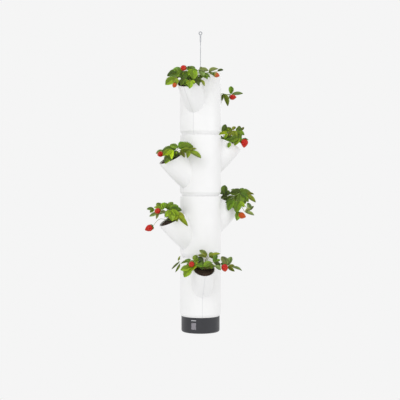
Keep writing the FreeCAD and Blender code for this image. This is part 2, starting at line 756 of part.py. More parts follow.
def base_cup():
    """Dark reservoir cup with the gauge's slot and the stepped hole for the cable anchor."""
    gauge = gauge_sizes()
    slot = block((gauge["flange_inner"], BASE_RADIUS + 1), (-WINDOW_WIDTH / 2, WINDOW_WIDTH / 2),
                 (gauge["bottom"], WINDOW_TOP))
    return base_outline().cut(base_hollow()).cut([
        cylinder(ANCHOR_RECESS_RADIUS + ANCHOR_BOSS_WALL + ANCHOR_FIT, BASE_BOTTOM - 1, RESERVOIR_FLOOR + 1),
        cylinder(ANCHOR_FLANGE_RADIUS + ANCHOR_FIT, BASE_BOTTOM - 1, BASE_BOTTOM + ANCHOR_FLANGE),
        at_azimuth(slot, GAUGE_TURN),
        at_azimuth(gauge_room(), GAUGE_TURN),
        at_azimuth(mark_form(0), GAUGE_TURN),
    ])


def cable_anchor():
    """Insert from below: a flange under the floor, a cup over the cable's stop and a column to the lid."""
    boss_top = BASE_BOTTOM + ANCHOR_RECESS_DEPTH + ANCHOR_BOSS_WALL
    flange = cylinder(ANCHOR_FLANGE_RADIUS, BASE_BOTTOM, BASE_BOTTOM + ANCHOR_FLANGE)
    boss = cylinder(ANCHOR_RECESS_RADIUS + ANCHOR_BOSS_WALL, BASE_BOTTOM, boss_top)
    column = cylinder(COLUMN_RADIUS, BASE_BOTTOM, LID_BOTTOM)
    anchor = flange.fuse([boss, column]).cut([
        cylinder(COLUMN_BORE, BASE_BOTTOM - 1, 1),
        cylinder(ANCHOR_RECESS_RADIUS, BASE_BOTTOM - 1, BASE_BOTTOM + ANCHOR_RECESS_DEPTH),
    ])
    return anchor.removeSplitter()


def mark_form(fit):
    """Curved bar of the full mark, set flush in the outside of the base above the window."""
    return ring_sector(BASE_RADIUS - MARK_THICKNESS + fit, BASE_RADIUS + (0 if fit else 1),
                       MARK_TOP - MARK_HEIGHT + fit, MARK_TOP - fit, WINDOW_WIDTH / 2 - fit)


def level_window():
    """Clear curved window with a flange behind the wall."""
    gauge = gauge_sizes()
    face = BASE_INNER + WINDOW_THICKNESS
    pane = ring_sector(gauge["flange_outer"] - 0.1, face, gauge["bottom"] + WINDOW_FIT,
                       WINDOW_TOP - WINDOW_FIT, WINDOW_WIDTH / 2 - WINDOW_FIT)
    flange = ring_sector(gauge["flange_inner"], gauge["flange_outer"], gauge["bottom"] - WINDOW_FLANGE,
                         WINDOW_TOP + WINDOW_FLANGE, WINDOW_WIDTH / 2 + WINDOW_FLANGE)
    return pane.fuse(flange)


def window_gasket():
    """Thin seal between the window's flange and the wall."""
    gauge = gauge_sizes()
    frame = ring_sector(gauge["flange_outer"], BASE_INNER, gauge["bottom"] - WINDOW_FLANGE,
                        WINDOW_TOP + WINDOW_FLANGE, WINDOW_WIDTH / 2 + WINDOW_FLANGE)
    opening = ring_sector(gauge["flange_outer"] - 1, BASE_INNER + 1, gauge["bottom"], WINDOW_TOP,
                          WINDOW_WIDTH / 2)
    return frame.cut(opening)


def level_float():
    """Foam float of the gauge, resting on its stop when the reservoir is empty."""
    gauge = gauge_sizes()
    outer = gauge["float_outer"]
    return ring_sector(outer - FLOAT_THICKNESS, outer, gauge["bottom"],
                       gauge["bottom"] + FLOAT_HEIGHT, FLOAT_WIDTH / 2)


def wick_places():
    """Centres of the wick rods around the axis."""
    angles = [math.radians(WICK_TURN - 90 + 360 * index / WICK_COUNT) for index in range(WICK_COUNT)]
    return [(WICK_CIRCLE * math.cos(angle), WICK_CIRCLE * math.sin(angle)) for angle in angles]


def wick_rods():
    """Porous rods with a head on the lid, reaching down nearly to the reservoir's floor."""
    rods = []
    for x, y in wick_places():
        rod = cylinder(WICK_RADIUS, RESERVOIR_FLOOR + WICK_FLOOR_GAP, LID_TOP + WICK_HEAD, x, y)
        head = cylinder(WICK_HEAD_RADIUS, LID_TOP, LID_TOP + WICK_HEAD, x, y)
        rods.append(rod.fuse(head).removeSplitter())
    return rods


def reservoir_lid():
    """Flat lid on the ledge: the lowest module turns on it, and the wick rods hang through it."""
    disc = cylinder(COLLAR_RADIUS - TURN_CLEARANCE, LID_BOTTOM, LID_TOP)
    passage = block((PASSAGE_START, PASSAGE_START + PASSAGE_SIZE), (-PASSAGE_SIZE / 2, PASSAGE_SIZE / 2),
                    (LID_BOTTOM - 1, LID_TOP + 1))
    cutters = [turn(passage, 90), turn(passage, -90)]
    cutters.append(cylinder(COLUMN_BORE, LID_BOTTOM - 1, LID_TOP + 1))
    for x, y in wick_places():
        cutters.append(cylinder(WICK_RADIUS + WICK_FIT, LID_BOTTOM - 1, LID_TOP + 1, x, y))
    return disc.cut(cutters)


# Cable and its fittings, drawn in the tower's frame


def anchor_ceiling():
    """Height of the ceiling of the anchor recess under the base."""
    return module_bottom(MODULE_COUNT) + BASE_BOTTOM + ANCHOR_RECESS_DEPTH


def cable_ends():
    """Lower and upper end of the cable."""
    low = anchor_ceiling() - WASHER_THICKNESS - STOP_SLEEVE_LENGTH - CABLE_TAIL
    high = -SHANK_LENGTH + SHANK_BORE_DEPTH
    return low, high


def swage_eye():
    """Eye with a long shank that is pressed on to the cable's upper end."""
    eye = Part.makeCylinder(EYE_RADIUS, EYE_THICKNESS, Vector(0, EYE_THICKNESS / 2, 0), Vector(0, -1, 0))
    shank = cylinder(SHANK_RADIUS, -SHANK_LENGTH, -EYE_BORE_RADIUS - 1)
    bore = Part.makeCylinder(EYE_BORE_RADIUS, 2 * EYE_THICKNESS, Vector(0, EYE_THICKNESS, 0),
                             Vector(0, -1, 0))
    socket = cylinder(CABLE_RADIUS + SWAGE_FIT, -SHANK_LENGTH - 1, cable_ends()[1])
    return eye.fuse(shank).cut([bore, socket]).removeSplitter()


def hanging_cable():
    """Straight steel cable from its stop under the base up to the eye."""
    low, high = cable_ends()
    return cylinder(CABLE_RADIUS, low, high)


def anchor_washer():
    """Washer between the base and the stop sleeve."""
    top = anchor_ceiling()
    disc = cylinder(WASHER_RADIUS, top - WASHER_THICKNESS, top)
    return disc.cut(cylinder(CABLE_RADIUS + SWAGE_FIT, top - WASHER_THICKNESS - 1, top + 1))


def stop_sleeve():
    """Sleeve crimped on the cable's lower end."""
    top = anchor_ceiling() - WASHER_THICKNESS
    sleeve = cylinder(STOP_SLEEVE_RADIUS, top - STOP_SLEEVE_LENGTH, top)
    bore = cylinder(CABLE_RADIUS + SWAGE_FIT, top - STOP_SLEEVE_LENGTH - 1, top + 1)
    return sleeve.cut(bore)


# Top cover, drawn with the bottom plane of the top module at zero height


def top_cover():
    """Dished cover with a watering hole; it lies on the top edge and lifts along the cable."""
    seat = MODULE_PITCH
    crest = seat + COVER_PLATE
    edge = COVER_PLATE / 2
    skirt = COLLAR_RADIUS - TURN_CLEARANCE
    dish = seat - COVER_DISH_DROP
    hub_top = dish + COVER_HUB_RISE
    outline = [
        ((COVER_HUB_BORE, dish), (COVER_HUB_RADIUS, dish)),
        ((COVER_HUB_RADIUS, dish), (COVER_DISH_RADIUS - COVER_PLATE, seat - COVER_SKIRT)),
        ((COVER_DISH_RADIUS - COVER_PLATE, seat - COVER_SKIRT), (skirt, seat - COVER_SKIRT)),
        ((skirt, seat - COVER_SKIRT), (skirt, seat)),
        ((skirt, seat), (COVER_RADIUS - edge, seat)),
    ]
    edges = [line(start, end) for start, end in outline]
    edges.append(arc((COVER_RADIUS - edge, seat), (COVER_RADIUS, seat + edge),
                     (COVER_RADIUS - edge, crest)))
    upper = [
        (COVER_RADIUS - edge, crest),
        (COVER_DISH_RADIUS, crest),
        (COVER_HUB_RADIUS, dish + COVER_PLATE),
        (COVER_HUB_RADIUS - COVER_SKIRT_WALL, hub_top),
        (COVER_HUB_BORE, hub_top),
        (COVER_HUB_BORE, dish),
    ]
    edges += [line(start, end) for start, end in zip(upper, upper[1:])]
    cover = turned_edges(edges)
    lip_foot = dish + COVER_PLATE * INLET_LIP_ROOT
    lip = cylinder(INLET_RADIUS + INLET_WALL, lip_foot, crest + INLET_LIP, 0, INLET_OFFSET)
    hole = cylinder(INLET_RADIUS, dish - 1, crest + INLET_LIP + 1, 0, INLET_OFFSET)
    return cover.fuse(lip).cut(hole).removeSplitter()


def cover_grommet():
    """Rubber grommet in the cover's hub, around the cable."""
    low = MODULE_PITCH - COVER_DISH_DROP
    high = low + COVER_HUB_RISE
    return turned(
        (GROMMET_BORE, low - GROMMET_FLANGE), (GROMMET_FLANGE_RADIUS, low - GROMMET_FLANGE),
        (GROMMET_FLANGE_RADIUS, low), (COVER_HUB_BORE, low), (COVER_HUB_BORE, high),
        (GROMMET_FLANGE_RADIUS, high), (GROMMET_FLANGE_RADIUS, high + GROMMET_FLANGE),
        (GROMMET_BORE, high + GROMMET_FLANGE))


def placed(shape, height, azimuth=90.0):
    """Copy of a shape turned from +X to an azimuth and raised to a height."""
    copy = at_azimuth(shape, azimuth)
    copy.translate(Vector(0, 0, height))
    return copy


def main():
    """Build every node and write it to its STEP file."""
    os.makedirs("parts", exist_ok=True)
    left, right = half_shells()
    floor = module_floor()
    soil = tube_soil()
    clips = [clip(LOW_RIB_HEIGHT), turn(clip(HIGH_RIB_HEIGHT), 180)]
    pockets = [pocket_soil(UPPER_TIP_HEIGHT), turn(pocket_soil(LOWER_TIP_HEIGHT), 180)]
    for number in range(1, MODULE_COUNT + 1):
        height = module_bottom(number)
        azimuth = UPPER_SPOUT_TURN[number - 1]
        name = f"module_{number}"
        save(f"{name}_shell_left", [placed(left, height, azimuth)])
        save(f"{name}_shell_right", [placed(right, height, azimuth)])
        save(f"{name}_floor", [placed(floor, height, azimuth)])
        save(f"{name}_tube_soil", [placed(soil, height, azimuth)])
        save(f"{name}_shell_clips", [placed(piece, height, azimuth) for piece in clips])
        save(f"{name}_pocket_soil", [placed(piece, height, azimuth) for piece in pockets])
        upper = plant(azimuth, UPPER_TIP_HEIGHT, *PLANTS[number, "upper"])
        lower = plant(azimuth + 180, LOWER_TIP_HEIGHT, *PLANTS[number, "lower"])
        save(f"{name}_upper_plant", [placed(upper, height)])
        save(f"{name}_lower_plant", [placed(lower, height)])
    base_height = module_bottom(MODULE_COUNT)
    save("base_cup", [placed(base_cup(), base_height)])
    save("reservoir_lid", [placed(reservoir_lid(), base_height)])
    save("wick_rods", [placed(rod, base_height) for rod in wick_rods()])
    save("cable_anchor", [placed(cable_anchor(), base_height)])
    save("gauge_frame", [placed(gauge_frame(), base_height, GAUGE_TURN)])
    save("level_window", [placed(level_window(), base_height, GAUGE_TURN)])
    save("window_gasket", [placed(window_gasket(), base_height, GAUGE_TURN)])
    save("full_mark", [placed(mark_form(SWAGE_FIT), base_height, GAUGE_TURN)])
    save("level_float", [placed(level_float(), base_height, GAUGE_TURN)])
    save("anchor_washer", [anchor_washer()])
    save("stop_sleeve", [stop_sleeve()])
    save("hanging_cable", [hanging_cable()])
    save("swage_eye", [swage_eye()])
    save("top_cover", [placed(top_cover(), module_bottom(1))])
    save("cover_grommet", [placed(cover_grommet(), module_bottom(1))])


main()
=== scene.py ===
"""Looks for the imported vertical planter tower.

Four white modules with soil and strawberry plants stand on a charcoal reservoir base and hang by one
steel cable. Lengths are metres, or millimetres where a name ends in _mm or a docstring says so. The
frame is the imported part's own.
"""

import logging
import math
import random
from collections.abc import Callable
from dataclasses import dataclass, field
from enum import Enum
from functools import partial

import bpy
from bpy.types import Material, Node, NodeSocket, NodeTree, Object
from mathutils import Matrix, Vector, noise

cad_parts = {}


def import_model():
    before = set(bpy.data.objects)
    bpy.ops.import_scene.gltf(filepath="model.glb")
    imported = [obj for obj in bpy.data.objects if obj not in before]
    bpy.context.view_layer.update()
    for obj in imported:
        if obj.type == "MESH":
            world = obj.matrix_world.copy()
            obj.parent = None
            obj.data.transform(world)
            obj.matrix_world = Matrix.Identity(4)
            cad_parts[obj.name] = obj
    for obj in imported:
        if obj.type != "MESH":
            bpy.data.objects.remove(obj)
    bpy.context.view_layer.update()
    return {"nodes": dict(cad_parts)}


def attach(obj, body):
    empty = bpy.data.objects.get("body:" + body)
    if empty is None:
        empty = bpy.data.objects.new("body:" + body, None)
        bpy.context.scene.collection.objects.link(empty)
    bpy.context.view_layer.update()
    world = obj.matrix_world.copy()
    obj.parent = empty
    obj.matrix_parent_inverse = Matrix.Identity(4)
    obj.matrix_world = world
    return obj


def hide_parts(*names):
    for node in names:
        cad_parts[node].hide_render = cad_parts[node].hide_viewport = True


LOG = logging.getLogger("planter_tower")
MM = 0.001
# A texture's scale counts its details per metre, so it is this divided by their size in mm
PER_MM = 1000.0
Range = tuple[float, float]
Colour = tuple[float, float, float, float]
Adder = Callable[..., Node]

# Nearly all of a noise texture lies between these values
NOISE_RANGE = (0.3, 0.7)
# A turn picked by chance, in radians
FULL_TURN = (0, 6.28)


# Colours, nodes and operators


def linear(hex_colour: str) -> Colour:
    """Turn an sRGB hex colour to the linear values that a shader reads.

    Args:
        hex_colour: Six hex digits after a hash.

    Returns:
        Red, green, blue and an alpha of 1.
    """
    parts = [int(hex_colour[i : i + 2], 16) / 255 for i in (1, 3, 5)]
    red, green, blue = (p / 12.92 if p <= 0.04045 else ((p + 0.055) / 1.055) ** 2.4 for p in parts)
    return red, green, blue, 1.0


def tinted(colour: Colour, dim: float, warm: float = 1.0) -> Colour:
    """Dim a linear colour and warm its red."""
    return colour[0] * dim * warm, colour[1] * dim, colour[2] * dim, 1.0


def feed(node: Node, inputs: dict | list | tuple) -> None:
    """Give a node's inputs their values and links.

    Args:
        node: Node that takes them.
        inputs: Socket name or number to a value, to a hex colour, to a socket or to a node, which feeds
            it by its first output in use; or a list of these in the order of the sockets.
    """
    for socket, value in inputs.items() if isinstance(inputs, dict) else enumerate(inputs):
        if isinstance(value, Node):
            value = next(output for output in value.outputs if output.enabled)
        if isinstance(value, NodeSocket):
            node.id_data.links.new(value, node.inputs[socket])
        else:
            node.inputs[socket].default_value = linear(value) if isinstance(value, str) else value


def add_node(tree: NodeTree, kind: str, inputs: dict | list | tuple = (), **settings: object) -> Node:
    """Add a node with its settings, values and links.

    Args:
        tree: Node tree that takes the node.
        kind: Shader node type without its first words, such as Math.
        inputs: What its inputs get, as feed takes it.
        settings: Attributes of the node.

    Returns:
        The new node.
    """
    node = tree.nodes.new(f"ShaderNode{kind}")
    for name, value in settings.items():
        setattr(node, name, value)
    feed(node, inputs)
    return node


def select_only(*items: Object) -> None:
    """Select these objects and nothing else; the first becomes the active one."""
    bpy.ops.object.select_all(action="DESELECT")
    for item in items:
        item.select_set(True)
    bpy.context.view_layer.objects.active = items[0]


def named(name: str) -> Object:
    """Give the active object and its data a name and return the object."""
    made = bpy.context.view_layer.objects.active
    made.name = made.data.name = name
    return made


def primitive(name: str, add: Callable, **sizes: object) -> Object:
    """Add a named object by its operator, with nothing else selected."""
    bpy.ops.object.select_all(action="DESELECT")
    add(**sizes)
    return named(name)


def edit_all(operator: Callable, **settings: object) -> None:
    """Run an edit mode operator on the whole active mesh."""
    bpy.ops.object.mode_set(mode="EDIT")
    bpy.ops.mesh.select_all(action="SELECT")
    operator(**settings)
    bpy.ops.object.mode_set(mode="OBJECT")


def joined(name: str, items: list[Object]) -> Object:
    """Join mesh objects to one, with its origin at the frame's origin and its place in its mesh.

    Args:
        name: Name of the joined object.
        items: Objects to join, which are used up; one alone is only settled and named.

    Returns:
        The joined object.
    """
    select_only(*items)
    bpy.ops.object.transform_apply(location=True, rotation=True, scale=True)
    if len(items) > 1:
        bpy.ops.object.join()
    return named(name)


def linked(name: str, data: bpy.types.ID) -> Object:
    """Put a mesh or curve into the scene as an object."""
    item = bpy.data.objects.new(name, data)
    bpy.context.scene.collection.objects.link(item)
    return item


def copy_of(template: Object, matrix: Matrix) -> Object:
    """Copy a template with its own mesh, placed by a matrix."""
    mesh = template.data.copy()
    mesh.transform(matrix)
    return linked(template.name, mesh)


def painted_copy(template: Object, upper: Colour, under: Colour, matrix: Matrix) -> Object:
    """Copy a flat template, paint its leaf_colour attribute and turn it to its place.

    Args:
        template: Object whose mesh lies flat.
        upper: Linear colour of the faces that look up.
        under: Linear colour of the other faces.
        matrix: Turn, size and place of the copy.

    Returns:
        The copy.
    """
    item = copy_of(template, Matrix.Identity(4))
    layer = item.data.color_attributes.new("leaf_colour", "FLOAT_COLOR", "CORNER")
    for face in item.data.polygons:
        colour = upper if face.normal.z > 0 else under
        for corner in face.loop_indices:
            layer.data[corner].color = colour
    item.data.transform(matrix)
    return item


def curve_object(name: str, kind: str, runs: list[list[Vector]], steps: int = 12,
                 **bevel: object) -> Object:
    """Draw a curve with one open spline for each run of points.

    Args:
        name: Name of the object.
        kind: POLY, or NURBS for a smooth line.
        runs: Points of each spline.
        steps: Points of a smooth line between two control points.
        bevel: Attributes of the curve that make it a tube.

    Returns:
        The curve object.
    """
    curve = bpy.data.curves.new(name, "CURVE")
    curve.dimensions = "3D"
    for attribute, value in bevel.items():
        setattr(curve, attribute, value)
    for run in runs:
        spline = curve.splines.new(kind)
        spline.points.add(len(run) - 1)
        for point, place in zip(spline.points, run):
            point.co = (*place, 1.0)
        spline.order_u = 3
        spline.use_endpoint_u = True
        spline.resolution_u = steps
    return linked(name, curve)


def turned(heading: float, droop: float = 0.0, roll: float = 0.0) -> Matrix:
    """Turn by heading about Z, then droop about Y, then roll about X, in degrees."""
    return (Matrix.Rotation(math.radians(heading), 4, "Z")
            @ Matrix.Rotation(math.radians(droop), 4, "Y")
            @ Matrix.Rotation(math.radians(roll), 4, "X"))


# Finishes


@dataclass(frozen=True)
class Finish:
    """A surface finish that builds one material and puts it on pieces."""

    name: str

    def dress(self, piece: Object) -> None:
        """Give the piece this finish as its only material."""
        piece.data.materials.clear()
        piece.data.materials.append(bpy.data.materials.get(self.name) or self.make())

    def make(self) -> Material:
        """Build the material: start it here and let the finish fill it."""
        material = bpy.data.materials.new(self.name)
        material.use_nodes = True
        tree = material.node_tree
        self.fill(partial(add_node, tree), tree.nodes["Principled BSDF"])
        return material

    def fill(self, add: Adder, shader: Node) -> None:
        """Add the finish's nodes and feed the shader; each finish has its own."""
        raise NotImplementedError

    def close(self, add: Adder, shader: Node, tones: tuple, relief: tuple, others: dict) -> None:
        """Blend two tones, raise a relief and feed the shader with both.

        Args:
            add: What adds a node to the finish's tree.
            shader: The finish's shader.
            tones: Share of the second tone, the first tone and the second.
            relief: Height, strength, and depth in mm.
            others: What the shader's other inputs get.
        """
        shade = add("Mix", {0: tones[0], 6: tones[1], 7: tones[2]}, data_type="RGBA")
        bump = add("Bump", {"Height": relief[0], "Strength": relief[1], "Distance": relief[2] * MM})
        feed(shader, {"Base Color": shade, "Normal": bump, **others})


@dataclass(frozen=True)
class MouldedPlastic(Finish):
    """Injection moulded plastic: an even satin colour, faint mottling and a fine spark-eroded grain."""

    colour: str = "#F5F5F5"
    mottle: str = "#EFEFEF"
    roughness: Range = (0.3, 0.42)
    ior: float = 1.5
    mottle_mm: float = 60.0
    grain_mm: float = 1.2
    depth_mm: float = 0.02

    def fill(self, add: Adder, shader: Node) -> None:
        """Mottle the colour, vary the gloss and press the grain in."""
        place = add("TexCoord").outputs["Object"]
        cloud = add("TexNoise", {"Vector": place, "Scale": PER_MM / self.mottle_mm, "Detail": 3.0})
        gloss = add("MapRange", [cloud, *NOISE_RANGE, *self.roughness])
        # The real grain is about 0.1 mm, too fine to show, so it is drawn coarser
        grain = add("TexNoise", {"Vector": place, "Scale": PER_MM / self.grain_mm, "Detail": 2.0})
        self.close(add, shader, (cloud, self.colour, self.mottle), (grain, 0.5, self.depth_mm),
                   {"Roughness": gloss, "IOR": self.ior})


@dataclass(frozen=True)
class MouldedShell(MouldedPlastic):
    """Moulded half shells of one module: the plastic, with a painted grey shadow in their parting line.
    """

    azimuth: float = 0.0
    # Colour of the painted shadow along the parting line
    seam_shadow: str = "#DDDEE0"
    shadow_mm: Range = (0.65, 0.78)

    def fill(self, add: Adder, shader: Node) -> None:
        """Darken the plastic next to the upright plane that parts the halves."""
        super().fill(add, shader)
        plain = shader.inputs["Base Color"].links[0].from_socket
        place = add("TexCoord").outputs["Object"]
        turn = math.radians(self.azimuth)
        across = (math.cos(turn), math.sin(turn), 0.0)
        away = add("Math", [add("VectorMath", [place, across], operation="DOT_PRODUCT")],
                   operation="ABSOLUTE")
        # The real gap is about 0.3 mm, too fine to show, so its shadow is drawn wider
        full, gone = (distance * MM for distance in self.shadow_mm)
        line = add("MapRange", [away, full, gone, 1.0, 0.0])
        feed(shader, {"Base Color": add("Mix", {0: line, 6: plain, 7: self.seam_shadow}, data_type="RGBA")})


@dataclass(frozen=True)
class ClearWindow(Finish):
    """Moulded polycarbonate window, frosted on its back, so what lies behind it shows as pale grey."""

    colour: str = "#B4B0B8"
    second: str = "#A8A4AC"
    clearness: float = 0.45
    roughness: float = 0.22
    ior: float = 1.58
    frost_mm: float = 0.9
    depth_mm: float = 0.02

    def fill(self, add: Adder, shader: Node) -> None:
        """Let part of the light through and frost the rest."""
        place = add("TexCoord").outputs["Object"]
        frost = add("TexNoise", {"Vector": place, "Scale": PER_MM / self.frost_mm, "Detail": 2.0})
        self.close(add, shader, (frost, self.colour, self.second), (frost, 0.3, self.depth_mm),
                   {"Roughness": self.roughness, "IOR": self.ior, "Transmission Weight": self.clearness})


@dataclass(frozen=True)
class DrawnSteel(Finish):
    """Stainless steel, drawn to wire or turned: bright grey with fine lines along or round it."""

    colour: str = "#B2B4B8"
    second: str = "#9C9EA2"
    roughness: Range = (0.24, 0.4)
    line_mm: float = 0.6
    depth_mm: float = 0.02
    stretch: tuple[float, float, float] = (1.0, 1.0, 0.05)

    def fill(self, add: Adder, shader: Node) -> None:
        """Streak the gloss and the surface by stretched noise."""
        place = add("TexCoord").outputs["Object"]
        drawn = add("Mapping", {"Vector": place, "Scale": self.stretch})
        lines = add("TexNoise", {"Vector": drawn, "Scale": PER_MM / self.line_mm, "Detail": 3.0})
        gloss = add("MapRange", [lines, *NOISE_RANGE, *self.roughness])
        self.close(add, shader, (lines, self.colour, self.second), (lines, 0.4, self.depth_mm),
                   {"Roughness": gloss, "Metallic": 1.0})


@dataclass(frozen=True)
class SoftSurface(Finish):
    """Rubber, felt, foam or seed coat: a matt colour with pores or fibres of one real size."""

    colour: str
    second: str
    roughness: float
    pore_mm: float
    depth_mm: float

    def fill(self, add: Adder, shader: Node) -> None:
        """Fleck the colour and raise the pores."""
        place = add("TexCoord").outputs["Object"]
        pores = add("TexVoronoi", {"Vector": place, "Scale": PER_MM / self.pore_mm})
        self.close(add, shader, (pores, self.colour, self.second), (pores, 0.6, self.depth_mm),
                   {"Roughness": self.roughness})


@dataclass(frozen=True)
class PottingSoil(Finish):
    """Damp peat with bark fibre: dark brown crumbs of 2 to 6 mm with lighter fibres between."""

    dark: tuple[str, float] = ("#1D130C", 0.38)
    middle: tuple[str, float] = ("#3D2A1B", 0.56)
    pale: tuple[str, float] = ("#7A5E43", 0.78)
    roughness: float = 0.9
    crumb_mm: float = 4.0
    depth_mm: float = 2.0

    def fill(self, add: Adder, shader: Node) -> None:
        """Give each tone its place on a ramp over rough noise, and raise the crumbs."""
        crumbs = add("TexNoise", {"Vector": add("TexCoord").outputs["Object"],
                                  "Scale": PER_MM / self.crumb_mm, "Detail": 6.0, "Roughness": 0.7})
        ramp = add("ValToRGB", [crumbs])
        stops = ramp.color_ramp.elements
        for stop, (tone, position) in zip((stops[0], stops[1]), (self.dark, self.pale)):
            stop.color = linear(tone)
            stop.position = position
        stops.new(self.middle[1]).color = linear(self.middle[0])
        bump = add("Bump", {"Height": crumbs, "Strength": 1.0, "Distance": self.depth_mm * MM})
        feed(shader, {"Base Color": ramp, "Roughness": self.roughness, "Normal": bump})


@dataclass(frozen=True)
class StrawberryLeaf(Finish):
    """Strawberry leaf: a waxy upper face with sunk pale veins that fan from the midrib to the teeth.

    The leaflet's UV map runs along it in X and across it in Y, with the midrib at half.
    """

    vein: str = "#B9CC6A"
    vein_share: float = 0.28
    depth_mm: float = 0.5
    vein_edges: Range = (0.0, 0.1)
    rib_edges: Range = (0.008, 0.035)
    side_veins: float = 9.0
    slant: float = 0.55
    # Painted light and shade: where the two halves of a leaflet turn darker and lighter, and how much the
    # margin is brightened
    fold_edges: Range = (0.47, 0.53)
    halves: Range = (0.72, 1.2)
    margin_edges: Range = (0.3, 0.5)
    margin: Range = (1.0, 1.35)
    blotches: Range = (0.78, 1.15)
    blotch_mm: float = 9.0
    roughness: float = 0.42
    ior: float = 1.42
    shine: float = 0.35

    def fill(self, add: Adder, shader: Node) -> None:
        """Paint light, shade and random blotches onto the painted colour, and draw the midrib and the
        slanted side veins over it.
        """
        parts = add("SeparateXYZ", [add("UVMap", uv_map="UVMap")])
        along, sideways = parts.outputs["X"], parts.outputs["Y"]
        across = add("Math", [add("Math", [sideways, 0.5], operation="SUBTRACT")],
                     operation="ABSOLUTE")
        slanted = add("Math", [across, -self.slant, along], operation="MULTIPLY_ADD")
        counted = add("Math", [slanted, self.side_veins], operation="MULTIPLY")
        wave = add("Math", [counted, 0.5], operation="PINGPONG")
        side = add("MapRange", [wave, *self.vein_edges, 1.0, 0.0])
        rib = add("MapRange", [across, *self.rib_edges, 1.0, 0.0])
        veins = add("Math", [side, rib], operation="MAXIMUM")
        share = add("Math", [veins, self.vein_share], operation="MULTIPLY")
        sunk = add("Math", [1.0, veins], operation="SUBTRACT")
        # Painted light and shade: one half of a leaflet is darker, the other lighter, and the thin margin
        # brighter
        half = add("MapRange", [sideways, *self.fold_edges, *self.halves])
        margin = add("MapRange", [across, *self.margin_edges, *self.margin])
        painted_light = add("Math", [half, margin], operation="MULTIPLY")
        blotch = add("TexNoise", {"Vector": add("TexCoord").outputs["Object"],
                                  "Scale": PER_MM / self.blotch_mm, "Detail": 3.0})
        dim = add("MapRange", [blotch, *NOISE_RANGE, *self.blotches])
        blotch_and_light = add("Math", [dim, painted_light], operation="MULTIPLY")
        painted = add("Attribute", attribute_name="leaf_colour")
        blotched_and_lit = add("VectorMath", {0: painted, "Scale": blotch_and_light}, operation="SCALE")
        self.close(add, shader, (share, blotched_and_lit, self.vein), (sunk, 0.7, self.depth_mm),
                   {"Roughness": self.roughness, "IOR": self.ior, "Specular IOR Level": self.shine})


@dataclass(frozen=True)
class GreenStalk(Finish):
    """Leaf stalk: pale green skin that reddens in patches, with fine hair that dulls its gloss."""

    green: str = "#8FA857"
    red: str = "#8A5A3E"
    red_edges: Range = (0.45, 0.62)
    red_share: float = 0.8
    roughness: float = 0.55
    patch_mm: float = 25.0
    hair_mm: float = 0.8
    depth_mm: float = 0.15

    def fill(self, add: Adder, shader: Node) -> None:
        """Blend green to red in patches and raise the hair."""
        place = add("TexCoord").outputs["Object"]
        patch, hair = (add("TexNoise", {"Vector": place, "Scale": PER_MM / size, "Detail": 2.0})
                       for size in (self.patch_mm, self.hair_mm))
        share = add("MapRange", [patch, *self.red_edges, 0.0, self.red_share])
        self.close(add, shader, (share, self.green, self.red), (hair, 0.5, self.depth_mm),
                   {"Roughness": self.roughness})


@dataclass(frozen=True)
class BerrySkin(Finish):
    """Strawberry skin: wet-looking red, paler at the neck, dimpled round each seed.

    The berry's UV map runs round it in X and from the tip up to the neck in Y.
    """

    ripe: str = "#BA0E10"
    neck: str = "#B8482C"
    neck_share: float = 0.85
    fade: Range = (0.78, 0.97)
    columns: float = 12.0
    rows: float = 9.0
    dimple_edges: Range = (0.1, 0.42)
    depth_mm: float = 0.8
    roughness: float = 0.28
    ior: float = 1.4
    shine: float = 0.3

    def fill(self, add: Adder, shader: Node) -> None:
        """Fade the neck and press a dimple at every seed's place on the UV map."""
        parts = add("SeparateXYZ", [add("UVMap", uv_map="UVMap")])
        row = add("Math", [parts.outputs["Y"], self.rows], operation="MULTIPLY")
        column = add("Math", [parts.outputs["X"], self.columns], operation="MULTIPLY")
        # Each row is shifted by half a cell from the row below it
        whole = add("Math", [row], operation="FLOOR")
        shifted = add("Math", [whole, 0.5, column], operation="MULTIPLY_ADD")
        cell = add("CombineXYZ", [add("Math", [at], operation="FRACT") for at in (shifted, row)])
        away = add("VectorMath", [cell, (0.5, 0.5, 0.0)], operation="DISTANCE")
        dimple = add("MapRange", [away, *self.dimple_edges, 0.0, 1.0])
        fade = add("MapRange", [parts.outputs["Y"], *self.fade, 0.0, self.neck_share])
        self.close(add, shader, (fade, self.ripe, self.neck), (dimple, 0.8, self.depth_mm),
                   {"Roughness": self.roughness, "IOR": self.ior, "Specular IOR Level": self.shine})


WHITE_SHELL = MouldedPlastic("white_moulded_shell")
CHARCOAL = MouldedPlastic("charcoal_moulded_base", "#2B2C30", "#303136", roughness=(0.34, 0.46),
                          grain_mm=1.5, depth_mm=0.04)
INNER_PLASTIC = MouldedPlastic("dark_inner_plastic", "#34353A", "#3D3E42", roughness=(0.45, 0.6),
                               grain_mm=1.5, depth_mm=0.05)
CLIP_PLASTIC = MouldedPlastic("grey_nylon_clip", "#9B9B9A", "#939392", roughness=(0.45, 0.55))
MARK_PLASTIC = MouldedPlastic("pale_mark_inlay", "#C9C9CC", "#C0C0C4", roughness=(0.3, 0.4))
LEVEL_WINDOW = ClearWindow("frosted_level_window")
CABLE_STEEL = DrawnSteel("stranded_steel_cable", line_mm=0.5)
FITTING_STEEL = DrawnSteel("turned_steel_fitting", line_mm=0.4, stretch=(0.1, 0.1, 1.0))
SEAL_RUBBER = SoftSurface("black_seal_rubber", "#1F1F20", "#262627", roughness=0.7, pore_mm=0.8,
                          depth_mm=0.03)
WICK_FELT = SoftSurface("wick_felt", "#C9C4B6", "#A39D8D", roughness=0.95, pore_mm=0.9, depth_mm=0.2)
FLOAT_FOAM = SoftSurface("float_foam", "#D9D9DA", "#BFBFC1", roughness=0.85, pore_mm=1.6,
                         depth_mm=0.15)
SOIL = PottingSoil("damp_potting_soil")
LEAF = StrawberryLeaf("strawberry_leaf")
STALK = GreenStalk("strawberry_stalk")
SEED = SoftSurface("berry_seed", "#D9B45A", "#C79A3F", roughness=0.5, pore_mm=0.6, depth_mm=0.02)


# Camera and studio


